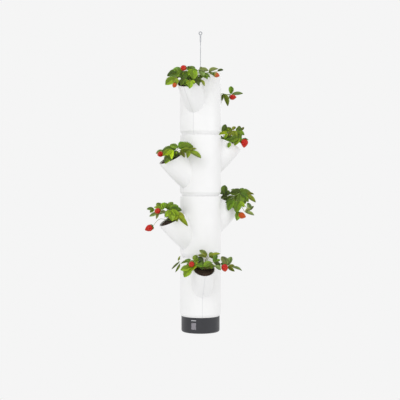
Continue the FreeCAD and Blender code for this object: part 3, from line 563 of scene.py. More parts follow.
@dataclass
class PhotoCamera:
    """Camera at the photograph's place, for its 400 by 400 frame."""

    frame_px: float = 400.0
    focal_px: float = 1101.0
    axis_px: float = 200.5
    horizon_px: float = 170.0
    distance: float = 4.57
    height: float = -0.5647
    sensor_mm: float = 36.0
    clip: Range = (0.05, 60.0)

    def make(self) -> None:
        """Add the camera, aimed so that the tower's axis and the horizon fall where they do."""
        tilt = math.atan((self.frame_px / 2 - self.horizon_px) / self.focal_px)
        pan = math.atan((self.axis_px - self.frame_px / 2) / self.focal_px)
        camera = primitive("photo_camera", bpy.ops.object.camera_add,
                           location=(0.0, -self.distance, self.height),
                           rotation=(math.pi / 2 - tilt, 0.0, pan))
        camera.data.sensor_width = self.sensor_mm
        camera.data.lens = self.focal_px / self.frame_px * self.sensor_mm
        camera.data.clip_start, camera.data.clip_end = self.clip
        bpy.context.scene.camera = camera
        LOG.info("photo_camera: %.2f m in front of the tower", self.distance)


@dataclass(frozen=True)
class SoftLamp:
    """A square lamp: name, place and side in metres, and power in watts."""

    name: str
    place: tuple[float, float, float]
    side: float
    power: float


@dataclass
class Studio:
    """Plain pale studio: floor below the hanging tower, soft lamps and an even world."""

    backdrop: str = "#F5F5F5"
    floor_height: float = -1.80
    floor_size: float = 16.0
    world_strength: float = 0.79
    shadow_reach: Range = (0.5, 1.2)
    aim_height: float = -0.65
    lamps: tuple[SoftLamp, ...] = (
        SoftLamp("key_lamp", (-1.6, -3.5, 1.4), 2.2, 44.0),
        SoftLamp("fill_lamp", (3.4, -1.9, 0.4), 2.6, 21.0),
        SoftLamp("top_lamp", (0.2, 0.6, 3.2), 2.4, 14.0),
        SoftLamp("back_lamp", (0.8, 3.6, 0.6), 2.4, 10.0),
    )

    def seen(self, add: Adder) -> Node:
        """Share of rays that see the plain backdrop: camera, glossy and transmitted ones."""
        path = add("LightPath").outputs
        shiny = add("Math", [path["Is Camera Ray"], path["Is Glossy Ray"]], operation="MAXIMUM")
        return add("Math", [shiny, path["Is Transmission Ray"]], operation="MAXIMUM")

    def make_world(self) -> None:
        """Light the scene evenly and show the backdrop's colour behind the object."""
        world = bpy.data.worlds.new("studio")
        world.use_nodes = True
        world.node_tree.nodes.clear()
        add = partial(add_node, world.node_tree)
        light = add("Background", ["#FFFFFF", self.world_strength])
        shown = add("Background", [self.backdrop, 1.0])
        add("OutputWorld", [add("MixShader", [self.seen(add), light, shown])])
        bpy.context.scene.world = world

    def make_floor(self) -> None:
        """Lay a floor that keeps the tower's shadow near its foot and fades to the backdrop."""
        floor = primitive("studio_floor", bpy.ops.mesh.primitive_plane_add, size=self.floor_size,
                          location=(0.0, 0.0, self.floor_height))
        floor = joined("studio_floor", [floor])
        material = bpy.data.materials.new("studio_floor")
        material.use_nodes = True
        material.node_tree.nodes.clear()
        add = partial(add_node, material.node_tree)
        place = add("TexCoord").outputs["Object"]
        flat = add("VectorMath", [place, (1.0, 1.0, 0.0)], operation="MULTIPLY")
        away = add("VectorMath", [flat], operation="LENGTH")
        fade = add("MapRange", [away, *self.shadow_reach, 0.0, 1.0])
        share = add("Math", [fade, self.seen(add)], operation="MULTIPLY")
        matt = add("BsdfDiffuse", [self.backdrop])
        glow = add("Emission", [self.backdrop, 1.0])
        add("OutputMaterial", [add("MixShader", [share, matt, glow])])
        floor.data.materials.append(material)

    def make_lamps(self) -> None:
        """Hang the large soft lamps round the tower, each aimed at its middle."""
        middle = Vector((0.0, 0.0, self.aim_height))
        for lamp in self.lamps:
            made = primitive(lamp.name, bpy.ops.object.light_add, type="AREA", location=lamp.place)
            made.data.shape = "SQUARE"
            made.data.size = lamp.side
            made.data.energy = lamp.power
            made.rotation_euler = (middle - Vector(lamp.place)).to_track_quat("-Z", "Y").to_euler()

    def make(self) -> None:
        """Set the view transform and build world, floor and lamps."""
        bpy.context.scene.view_settings.view_transform = "Standard"
        self.make_world()
        self.make_floor()
        self.make_lamps()
        LOG.info("studio: world, floor and %d lamps", len(self.lamps))


# Cable


@dataclass
class HangingCable:
    """Steel cable of 2.5 mm, six strands round a core, that runs up the axis from the base to its eye."""

    low: float = -1.2345
    high: float = -0.012
    route: tuple[float, ...] = (0.0, 0.2, 0.4, 0.6, 0.8, 1.0)
    diameter: float = 2.5 * MM
    strands: int = 6
    lay_length: float = 17.0 * MM
    steps_per_lay: int = 10

    def centre_line(self) -> list[Vector]:
        """Read points along the route's NURBS spline.

        Returns:
            The points, from the lower end to the upper one.
        """
        height = self.high - self.low
        steps = round(height / self.lay_length * self.steps_per_lay / (len(self.route) - 1))
        points = [Vector((0.0, 0.0, self.low + height * share)) for share in self.route]
        route = curve_object("cable_route", "NURBS", [points], steps)
        bpy.context.view_layer.update()
        mesh = bpy.data.meshes.new_from_object(route)
        line = [vertex.co.copy() for vertex in mesh.vertices]
        bpy.data.objects.remove(route)
        bpy.data.meshes.remove(mesh)
        return sorted(line, key=lambda point: point.z)

    def strand(self, line: list[Vector], number: int) -> list[Vector]:
        """Wind one of seven equal strands round the centre line; number -1 is the straight core."""
        reach = 0.0 if number < 0 else self.diameter / 3
        turns = [2 * math.pi * ((centre.z - self.low) / self.lay_length + number / self.strands)
                 for centre in line]
        return [centre + Vector((reach * math.cos(turn), reach * math.sin(turn), 0.0))
                for centre, turn in zip(line, turns)]

    def make(self) -> None:
        line = self.centre_line()
        runs = [self.strand(line, number) for number in range(-1, self.strands)]
        select_only(curve_object("cable_strands", "POLY", runs, bevel_depth=self.diameter / 6,
                                 bevel_resolution=1, use_fill_caps=True))
        bpy.ops.object.convert(target="MESH")
        cable = joined("stranded_cable", [named("stranded_cable")])
        bpy.ops.object.shade_smooth()
        CABLE_STEEL.dress(cable)
        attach(cable, "root")
        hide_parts("hanging_cable")


# Plants


class Tone(Enum):
    """Leaf colours in the photograph, as sRGB hex of the upper and the under face, partly painted light
    and shade.
    """

    # Painted shade: the dark tone of leaves that lie in shade
    DEEP = ("#33450A", "#5C6E30")
    GREEN = ("#587A0E", "#7A8C45")
    # Partly painted light: the bright tones of young leaves and of leaves that the light falls on
    FRESH = ("#7FA012", "#95A64E")
    YELLOW = ("#98B416", "#A9B85A")
    OLIVE = ("#6E7E1A", "#87914A")
    SAGE = ("#6F8040", "#8A9660")
    CALYX = ("#4F7A26", "#7F9C52")

    def faces(self) -> tuple[Colour, Colour]:
        """Linear colours of the upper and the under face."""
        return linear(self.value[0]), linear(self.value[1])


class Ripeness(Enum):
    """How far a berry has ripened, with its skin."""

    RIPE = BerrySkin("ripe_berry_skin")
    HALF = BerrySkin("half_ripe_berry_skin", "#BC4A16", "#9C8C36", fade=(0.6, 0.97))
    TURNING = BerrySkin("turning_berry_skin", "#BE5030", "#7F8E36", fade=(0.42, 0.6))


@dataclass(frozen=True)
class Placed:
    """A place seen from the front: right, near and up from the crown in mm."""

    right: float
    near: float
    up: float

    def place(self) -> Vector:
        """Place from the crown in the tower's frame, in mm."""
        return Vector((self.right, -self.near, self.up))


@dataclass(frozen=True)
class LeafSpec(Placed):
    """One leaf, seen from the front.

    Its stalk ends at its place. Face is how far the blades turn from level towards the viewer in
    degrees. Each blade is an aim in the leaf's plane, from right towards up, and a length in mm. Slim
    is the blades' width against their template's: less than 1 where they grow long or fold up.
    """

    face: float
    tone: Tone
    blades: tuple[Range, ...]
    slim: float = 1.0


@dataclass(frozen=True)
class BerrySpec(Placed):
    """One berry, seen from the front, by its middle, with its radius in mm.

    Aim is the way its tip points, from right towards up, and toward how far the tip leans at the
    viewer, in degrees.
    """

    radius: float
    aim: float
    toward: float
    ripeness: Ripeness = Ripeness.RIPE

    def tip_direction(self) -> Vector:
        """Direction from the neck to the tip."""
        aim, toward = math.radians(self.aim), math.radians(self.toward)
        return Vector((math.cos(aim) * math.cos(toward), -math.sin(toward),
                       math.sin(aim) * math.cos(toward)))

    def neck(self, length: float) -> Vector:
        """Place of the neck from the crown in mm, for a berry this many radii long."""
        return self.place() - self.tip_direction() * (length * self.radius / 2)


@dataclass
class LeafletShape:
    """Template of a leaflet of unit length along +X, from a grid.

    Fold is the rise of the halves from the midrib, curl how far the tip bends down and pleat the height
    of the pleats between the side veins.
    """

    name: str
    fold: float
    curl: float
    pleat: float
    rows: int = 20
    columns: int = 8
    width: float = 0.66
    thickness: float = 0.012
    foot_power: float = 0.85
    round_power: float = 0.72
    foot_share: float = 0.9
    tip_gain: float = 0.25
    curl_power: float = 2.2
    toothed: Range = (0.12, 0.97)
    tooth_depth: float = 0.13
    leaning: Range = (0.1, 0.95)
    tooth_lean: float = 0.05
    side_veins: int = 9
    slant: float = 0.55
    least_half: float = 0.012
    sharp_edge: float = 50.0

    def half_width(self, along: float) -> float:
        """Half width at a share of the length: wedge foot, broad and round beyond it."""
        if not 0 < along < 1:
            return self.least_half
        rise = math.sin(math.pi * min(1.0, along ** self.foot_power)) ** self.round_power
        fullness = self.foot_share + self.tip_gain * along
        return max(self.width / 2 * rise * fullness, self.least_half)

    def moved(self, along: float, across: float) -> Vector:
        """Place of a point of the flat grid on the leaflet.

        Args:
            along: Share of the length.
            across: Share of the half width, from -1 to 1.

        Returns:
            The point with its part of the teeth, fold, pleats and curl.
        """
        half, edge = self.half_width(along), abs(across) ** 4
        tooth = 1.0 + self.tooth_depth * edge * (1 if round(along * self.rows) % 2 else -1)
        side = across * half * (tooth if self.toothed[0] < along < self.toothed[1] else 1.0)
        lean = self.tooth_lean * edge * half if self.leaning[0] < along < self.leaning[1] else 0.0
        lift = self.fold * abs(side) - 0.5 * self.fold * side ** 2 / self.width
        wave = 2 * math.pi * self.side_veins * (along - self.slant * abs(across) / 2)
        ridge = self.pleat * math.sin(wave) * abs(across)
        return Vector((along + lean, side, lift + ridge - self.curl * along ** self.curl_power))

    def make(self) -> Object:
        """Model the leaflet, toothed, pleated and with thickness.

        Returns:
            The template object.
        """
        leaf = primitive(self.name, bpy.ops.mesh.primitive_grid_add, x_subdivisions=self.rows,
                         y_subdivisions=self.columns, size=1.0, location=(0.5, 0.0, 0.0))
        leaf = joined(self.name, [leaf])
        for vertex in leaf.data.vertices:
            vertex.co = self.moved(min(1.0, max(0.0, vertex.co.x)), vertex.co.y * 2)
        shell = leaf.modifiers.new("thickness", "SOLIDIFY")
        shell.thickness = self.thickness
        shell.offset = 0.0
        bpy.ops.object.modifier_apply(modifier="thickness")
        bpy.ops.object.shade_smooth_by_angle(angle=math.radians(self.sharp_edge))
        return leaf


@dataclass
class BerryShape:
    """Template of a berry of unit radius that hangs from the origin, with the places of its seeds."""

    columns: int = 12
    rows: int = 9
    length: float = 2.4
    drop_power: float = 1.12
    round_power: float = 0.7
    shoulder: float = 1.06
    taper: float = 0.3
    smallest: float = 1e-6

    def radius(self, low: float) -> float:
        """Radius at a share of the way down: full shoulders and a blunt tip."""
        return max(0.0, math.sin(math.pi * low)) ** self.round_power * (self.shoulder - self.taper * low)

    def drop(self, low: float) -> float:
        """Depth below the neck at a share of the way down the sphere's height."""
        return self.length * low ** self.drop_power

    def make(self) -> Object:
        """Model the berry from a sphere.

        Returns:
            The template object.
        """
        body = primitive("berry_template", bpy.ops.mesh.primitive_uv_sphere_add, segments=28,
                         ring_count=20, radius=1.0)
        for vertex in body.data.vertices:
            low = (1 - vertex.co.z) / 2
            ring = math.hypot(vertex.co.x, vertex.co.y)
            if ring > self.smallest:
                wanted = self.radius(low)
                vertex.co.x *= wanted / ring
                vertex.co.y *= wanted / ring
            vertex.co.z = -self.drop(low)
        bpy.ops.object.shade_smooth()
        return body

    def seed_places(self) -> list[tuple[Vector, Vector]]:
        """Centre and outward direction of every seed, on the cells that the skin dimples.

        Returns:
            Pairs of place and direction on a berry of unit radius.
        """
        places = []
        for row in range(1, self.rows - 1):
            low = (1 - math.cos(math.pi * (1 - (row + 0.5) / self.rows))) / 2
            ahead = min(1.0, low + 0.02)
            radius, drop = self.radius(low), self.drop(low)
            slope = (self.radius(ahead) - radius) / max(self.smallest, self.drop(ahead) - drop)
            for column in range(self.columns):
                turn = 2 * math.pi * (column + 0.5 - 0.5 * (row % 2)) / self.columns
                direction = Vector((math.cos(turn), math.sin(turn), slope)).normalized()
                places.append((Vector((radius * math.cos(turn), radius * math.sin(turn), -drop)),
                               direction))
        return places


@dataclass
class PlantShapes:
    """Templates that every plant copies: leaflets, berry, seed and sepal."""

    berry_shape: BerryShape = field(default_factory=BerryShape)
    leaflets: list[Object] = field(default_factory=list)
    parts: dict[str, Object] = field(default_factory=dict)

    def make(self) -> None:
        """Build every template once."""
        self.leaflets = [
            LeafletShape("leaflet_open", fold=0.34, curl=0.12, pleat=0.014).make(),
            LeafletShape("leaflet_cupped", fold=0.62, curl=0.18, pleat=0.018).make(),
            LeafletShape("leaflet_arched", fold=0.46, curl=0.34, pleat=0.016).make(),
        ]
        self.parts["berry"] = self.berry_shape.make()
        self.parts["seed"] = primitive("seed_template", bpy.ops.mesh.primitive_ico_sphere_add,
                                       subdivisions=1, radius=1.0)
        bpy.ops.object.shade_smooth()
        self.parts["sepal"] = LeafletShape("sepal_template", fold=0.3, curl=0.35, pleat=0.0, rows=6,
                                           columns=2, width=0.42, thickness=0.05).make()

    def clear(self) -> None:
        """Take the templates out of the scene once all plants are made."""
        for template in [*self.leaflets, *self.parts.values()]:
            bpy.data.objects.remove(template)


@dataclass
class StrawberryPlant:
    """One strawberry plant in the soil of a spout.

    Reaches, heights, lengths and radii are mm, a foot's turn is radians and other angles are degrees.
    Shares, and the sizes of seeds and sepals, are parts of a stalk's, leaf's or berry's own measure.
    """

    name: str
    body: str
    node: str
    crown: Vector
    leaves: list[LeafSpec]
    berries: list[BerrySpec]
    shapes: PlantShapes
    chance: random.Random
    blade_foot: float = 1.5
    blade_dim: Range = (0.5, 1.4)
    blade_warm: Range = (0.9, 1.22)
    blade_droop: Range = (-8, 4)
    blade_roll: Range = (-14, 14)
    young_spread: tuple[float, ...] = (-108.0, -74.0, -42.0, 42.0, 74.0, 108.0)
    young_reach: Range = (16.0, 21.0)
    young_height: tuple[float, float, float] = (20.0, 32.0, 26.0)
    young_length: float = 27.0
    young_blades: tuple[Range, ...] = ((-58.0, 0.85), (0.0, 1.0), (58.0, 0.85))
    # Painted shade: the low young leaves are dimmed, as they lie under the tall ones
    young_shade: Range = (0.55, 0.95)
    young_droop: Range = (12, 30)
    young_roll: Range = (-20, 20)
    young_size: Range = (0.85, 1.1)
    knee_share: float = 0.6
    low_knee_share: float = 0.75
    knee_rise: float = 12.0
    stalk_radius: float = 1.1
    stalk_shares: tuple[float, float, float] = (1.0, 0.7, 0.8)
    foot_share: float = 1.7
    foot_turn: Range = (-0.4, 0.4)
    foot_place: Range = (3.5, -1.0)
    arch_lift: float = 3.0
    crown_size: Range = (7.5, 8.0)
    crown_ridges: tuple[int, float] = (5, 0.16)
    seed_size: tuple[float, float, float] = (0.045, 0.075, 0.03)
    seed_depth: float = 0.99
    sepals: int = 9
    sepal_length: float = 0.95
    sepal_turn: Range = (-6, 6)
    sepal_droop: Range = (-12, 14)
    sepal_lift: float = 0.06

    def vary(self, span: Range) -> float:
        """Pick a value by chance within a range."""
        return self.chance.uniform(*span)

    def young_leaves(self) -> list[tuple[Vector, float]]:
        """Low young leaves to both sides of the crown, as the photograph shows between the tall ones.

        Returns:
            End of each stalk from the crown in mm, and the heading of the leaf in degrees.
        """
        outward = math.degrees(math.atan2(self.crown.y, self.crown.x))
        leaves = []
        for index, spread in enumerate(self.young_spread):
            heading = math.radians(outward + spread)
            reach, height = self.young_reach[index % 2], self.young_height[index % 3]
            leaves.append((Vector((reach * math.cos(heading), reach * math.sin(heading), height)),
                           outward + spread))
        return leaves

    def knee(self, foot: Vector, end: Vector) -> Vector:
        """Top of a stalk's arch; a stalk that ends low stays up until it has passed the rim."""
        way = end - foot
        share = self.low_knee_share if way.z < 0 else self.knee_share
        return foot + Vector((way.x * share, way.y * share, max(0.0, way.z) * share + self.knee_rise))

    def make_leaves(self) -> Object:
        """Copy the blades to the end of each leaf stalk.

        Returns:
            All leaves of the plant as one object.
        """
        copies = []
        for spec in self.leaves:
            junction = self.crown + spec.place() * MM
            leaf = Matrix.Translation(junction) @ turned(0.0, roll=spec.face)
            upper, under = spec.tone.faces()
            for aim, length in spec.blades:
                template = self.chance.choice(self.shapes.leaflets)
                tint = tinted(upper, self.vary(self.blade_dim), self.vary(self.blade_warm))
                twist = turned(aim, self.vary(self.blade_droop), self.vary(self.blade_roll))
                foot = Matrix.Translation((self.blade_foot * MM, 0.0, 0.0))
                size = Matrix.Diagonal((length * MM, length * spec.slim * MM, length * MM, 1.0))
                copies.append(painted_copy(template, tint, under, leaf @ twist @ foot @ size))
        upper, under = Tone.FRESH.faces()
        for end, heading in self.young_leaves():
            place = Matrix.Translation(self.crown + end * MM)
            for turn, share in self.young_blades:
                # The young leaves get painted shade, darker than their fresh tone
                tint = tinted(upper, self.vary(self.young_shade))
                twist = turned(heading + turn, self.vary(self.young_droop), self.vary(self.young_roll))
                size = Matrix.Scale(self.young_length * share * self.vary(self.young_size) * MM, 4)
                copies.append(painted_copy(self.shapes.leaflets[1], tint, under, place @ twist @ size))
        leaves = joined(f"{self.name}_leaves", copies)
        LEAF.dress(leaves)
        return leaves

    def make_crown(self) -> Object:
        """Model the ridged crown that the stalks grow from."""
        crown = primitive(f"{self.name}_crown", bpy.ops.mesh.primitive_uv_sphere_add, segments=14,
                          ring_count=10, radius=1.0)
        radius, height = self.crown_size
        ridges, depth = self.crown_ridges
        for vertex in crown.data.vertices:
            ridged = radius * (1.0 + depth * math.sin(ridges * math.atan2(vertex.co.y, vertex.co.x)))
            vertex.co = Vector((ridged * vertex.co.x, ridged * vertex.co.y,
                                height * vertex.co.z + 1.0)) * MM
        crown.data.transform(Matrix.Translation(self.crown))
        return crown

    def make_stalks(self) -> Object:
        """Draw every stalk as a thin arched curve from the crown, with the crown itself.

        Returns:
            The stalks as one mesh object.
        """
        name = f"{self.name}_stalks"
        of_leaf, of_berry, of_young_leaf = self.stalk_shares
        reach, height = self.foot_place
        ends = [(leaf.place(), of_leaf) for leaf in self.leaves]
        ends += [(berry.neck(self.shapes.berry_shape.length), of_berry) for berry in self.berries]
        ends += [(end, of_young_leaf) for end, _ in self.young_leaves()]
        runs = []
        for end, _ in ends:
            angle = math.atan2(end.y, end.x) + self.vary(self.foot_turn)
            foot = Vector((reach * math.cos(angle), reach * math.sin(angle), height))
            knee = self.knee(foot, end)
            rise = foot + (knee - foot) * 0.5 + Vector((0, 0, self.arch_lift))
            runs.append([self.crown + point * MM for point in (foot, rise, knee, end)])
        stalks = curve_object(name, "NURBS", runs, 5, bevel_depth=self.stalk_radius * MM,
                              bevel_resolution=2, use_fill_caps=True)
        for spline, (_, thickness) in zip(stalks.data.splines, ends):
            for point in spline.points:
                point.radius = thickness
            spline.points[0].radius = thickness * self.foot_share
        select_only(stalks)
        bpy.ops.object.convert(target="MESH")
        stalks = joined(name, [named(name), self.make_crown()])
        bpy.ops.object.shade_smooth()
        STALK.dress(stalks)
        return stalks

    def make_berries(self) -> list[Object]:
        """Hang each berry with its seeds and calyx.

        Returns:
            Skins, seeds and calyxes as separate objects.
        """
        skins: dict[Ripeness, list[Object]] = {ripeness: [] for ripeness in Ripeness}
        seeds, sepals = [], []
        parts, shape = self.shapes.parts, self.shapes.berry_shape
        for spec in self.berries:
            neck = Matrix.Translation(self.crown + spec.neck(shape.length) * MM)
            down = Vector((0.0, 0.0, -1.0))
            hang = neck @ down.rotation_difference(spec.tip_direction()).to_matrix().to_4x4()
            scale = Matrix.Scale(spec.radius * MM, 4)
            berry = hang @ Matrix.Rotation(self.vary(FULL_TURN), 4, "Z") @ scale
            skins[spec.ripeness].append(copy_of(parts["berry"], berry))
            for at, direction in shape.seed_places():
                turn = direction.to_track_quat("Z", "Y").to_matrix().to_4x4()
                place = Matrix.Translation(at * self.seed_depth)
                size = Matrix.Diagonal((*self.seed_size, 1.0))
                seeds.append(copy_of(parts["seed"], berry @ place @ turn @ size))
            for index in range(self.sepals):
                turn = turned(360 / self.sepals * index + self.vary(self.sepal_turn),
                              self.vary(self.sepal_droop))
                lift = Matrix.Translation((0.0, 0.0, self.sepal_lift))
                size = Matrix.Scale(self.sepal_length, 4)
                sepals.append(painted_copy(parts["sepal"], *Tone.CALYX.faces(),
                                           hang @ scale @ lift @ turn @ size))
        groups = [(f"{ripeness.name.lower()}_berries", ripeness.value, copies)
                  for ripeness, copies in skins.items()]
        groups += [("seeds", SEED, seeds), ("calyxes", LEAF, sepals)]
        made = []
        for kind, finish, copies in groups:
            if copies:
                made.append(joined(f"{self.name}_{kind}", copies))
                finish.dress(made[-1])
        return made

    def make(self) -> None:
        """Build the plant, let it ride on its module and stand for its CAD solid."""
        leaves = self.make_leaves()
        pieces = [leaves, self.make_stalks(), *self.make_berries()]
        for piece in pieces:
            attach(piece, self.body)
        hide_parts(self.node)
        LOG.info("%s: %d leaves, %d berries", self.name, len(self.leaves), len(self.berries))


# Modules


class Level(Enum):
    """Spout of a module, with its turn from the azimuth in degrees and its tip's height in mm."""

    UPPER = (0.0, 89.0)
    LOWER = (180.0, 33.0)


@dataclass
class PlanterModule:
    """One white module: dressed shells, floor, clips and soil, with its soil surfaces and plants.

    Azimuth is where its upper spout points, in degrees from the front towards the right. Sizes are mm.
    """

    number: int
    azimuth: float
    shapes: PlantShapes
    nodes: dict[str, Object]
    tower_top: float = -168.0
    pitch: float = 252.0
    rim_slope: float = 26.6
    crown_place: Range = (132.97, 117.99)
    soil_place: Range = (136.0, 121.0)
    soil_half: Range = (56.2, 41.5)
    soil_grid: tuple[int, int] = (34, 26)
    soil_depth: float = 6.5
    edge_rise: float = 1.2
    edge_depth: float = 0.6
    dome_height: float = 1.5
    lump_size: float = 9.0
    lump_height: float = 2.2
    lump_noise: tuple[float, float, int] = (0.7, 2.0, 4)
    crumbs: int = 70
    crumb_spread: float = 0.9
    crumb_heights: Range = (0.8, 2.6)
    crumb_radii: Range = (0.9, 2.6)

    def spout_place(self, level: Level, place: Range) -> Matrix:
        """Find a place in a spout, with +X out of the tower.

        Args:
            level: Which spout.
            place: Distance from the tower's axis, and height above the spout's tip.

        Returns:
            Matrix from the place's own frame to the tower's.
        """
        turn, tip = level.value
        bottom = self.tower_top - self.number * self.pitch
        return (Matrix.Translation((0, 0, bottom * MM)) @ turned(self.azimuth - 90 + turn)
                @ Matrix.Translation(Vector((place[0], 0, tip + place[1])) * MM))

    def soil_point(self, vertex: Vector, offset: Vector) -> Vector:
        """Move a point of the square grid to the lumpy oval sheet or to the sheet's underside.

        Args:
            vertex: Point from -1 to 1 in X and Y, and 1 high on the top.
            offset: Place in the noise that makes the lumps.

        Returns:
            The point in mm from the middle of the soil's plane.
        """
        x = vertex.x * math.sqrt(1 - vertex.y * vertex.y / 2)
        y = vertex.y * math.sqrt(1 - vertex.x * vertex.x / 2)
        rim = max(0.0, 1 - x ** 2 - y ** 2)
        place = Vector((x * self.soil_half[0], y * self.soil_half[1], -self.soil_depth))
        if vertex.z > 0.5:
            at = Vector((place.x, place.y, 0.0)) / self.lump_size + offset
            lumps = self.lump_height * noise.fractal(at, *self.lump_noise)
            place.z = (self.edge_rise * min(1.0, 6 * rim) + lumps * min(1.0, 3 * rim)
                       + self.dome_height * rim - self.edge_depth)
        return place

    def soil_surface(self, level: Level) -> None:
        """Model the crumbly top of the soil in a spout, with loose crumbs on it.

        Args:
            level: Which spout.
        """
        name = f"module_{self.number}_{level.name.lower()}_soil_surface"
        chance = random.Random(self.number * 10 + (level is Level.UPPER))
        sheet = primitive(name, bpy.ops.mesh.primitive_grid_add, x_subdivisions=self.soil_grid[0],
                          y_subdivisions=self.soil_grid[1], size=2.0)
        edit_all(bpy.ops.mesh.extrude_region_move, TRANSFORM_OT_translate={"value": (0.0, 0.0, 1.0)})
        offset = Vector((chance.uniform(0, 50), chance.uniform(0, 50), 0.0))
        for vertex in sheet.data.vertices:
            vertex.co = self.soil_point(vertex.co, offset) * MM
        pieces = [sheet]
        for _ in range(self.crumbs):
            turn, reach = chance.uniform(*FULL_TURN), self.crumb_spread * math.sqrt(chance.random())
            at = Vector((reach * math.cos(turn) * self.soil_half[0],
                         reach * math.sin(turn) * self.soil_half[1],
                         chance.uniform(*self.crumb_heights)))
            size = [chance.uniform(*self.crumb_radii) * MM for _ in range(3)]
            spin = Matrix.Rotation(chance.uniform(*FULL_TURN), 4, "Z")
            pieces.append(copy_of(self.shapes.parts["seed"],
                                  Matrix.Translation(at * MM) @ spin @ Matrix.Diagonal((*size, 1))))
        soil = joined(name, pieces)
        edit_all(bpy.ops.mesh.normals_make_consistent, inside=False)
        bpy.ops.object.shade_smooth()
        soil.data.transform(self.spout_place(level, self.soil_place) @ turned(0.0, self.rim_slope))
        SOIL.dress(soil)
        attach(soil, f"module_{self.number}")

    def make_plant(self, level: Level) -> None:
        """Grow the plant of one spout from its crown."""
        name = f"module_{self.number}_{level.name.lower()}"
        leaves, berries = PLANTS[self.number, level]
        StrawberryPlant(name=f"{name}_strawberry", body=f"module_{self.number}", node=f"{name}_plant",
                        crown=self.spout_place(level, self.crown_place).to_translation(),
                        leaves=[LeafSpec(*row) for row in leaves],
                        berries=[BerrySpec(*row) for row in berries], shapes=self.shapes,
                        chance=random.Random(self.number * 7 + (level is Level.UPPER))).make()

    def make(self) -> None:
        """Dress the module's CAD nodes and add soil surfaces and plants."""
        shell = MouldedShell(f"white_moulded_shell_{self.number}", azimuth=self.azimuth)
        finishes = {"shell_left": shell, "shell_right": shell, "floor": INNER_PLASTIC,
                    "shell_clips": CLIP_PLASTIC, "tube_soil": SOIL, "pocket_soil": SOIL}
        for kind, finish in finishes.items():
            finish.dress(self.nodes[f"module_{self.number}_{kind}"])
        for level in Level:
            self.soil_surface(level)
            self.make_plant(level)
        LOG.info("module_%d: shells, floor, clips, soil and two plants", self.number)


@dataclass
class ReservoirBase:
    """Charcoal reservoir base with its level gauge, lid, wicks and cable anchor."""

    nodes: dict[str, Object]

    def make(self) -> None:
        """Dress the base's CAD nodes, whose shapes are right."""
        finishes = {"base_cup": CHARCOAL, "cable_anchor": CHARCOAL, "gauge_frame": INNER_PLASTIC,
                    "reservoir_lid": INNER_PLASTIC, "wick_rods": WICK_FELT,
                    "level_window": LEVEL_WINDOW, "window_gasket": SEAL_RUBBER,
                    "full_mark": MARK_PLASTIC, "level_float": FLOAT_FOAM,
                    "anchor_washer": FITTING_STEEL, "stop_sleeve": FITTING_STEEL,
                    "swage_eye": FITTING_STEEL}
        for name, finish in finishes.items():
            finish.dress(self.nodes[name])
        LOG.info("reservoir_base: %d nodes dressed", len(finishes))


@dataclass
class TopCover:
    """Dished white cover with its watering hole and the grommet round the cable."""

    nodes: dict[str, Object]

    def make(self) -> None:
        """Dress the cover's CAD nodes."""
        WHITE_SHELL.dress(self.nodes["top_cover"])
        SEAL_RUBBER.dress(self.nodes["cover_grommet"])
        LOG.info("top_cover: 2 nodes dressed")


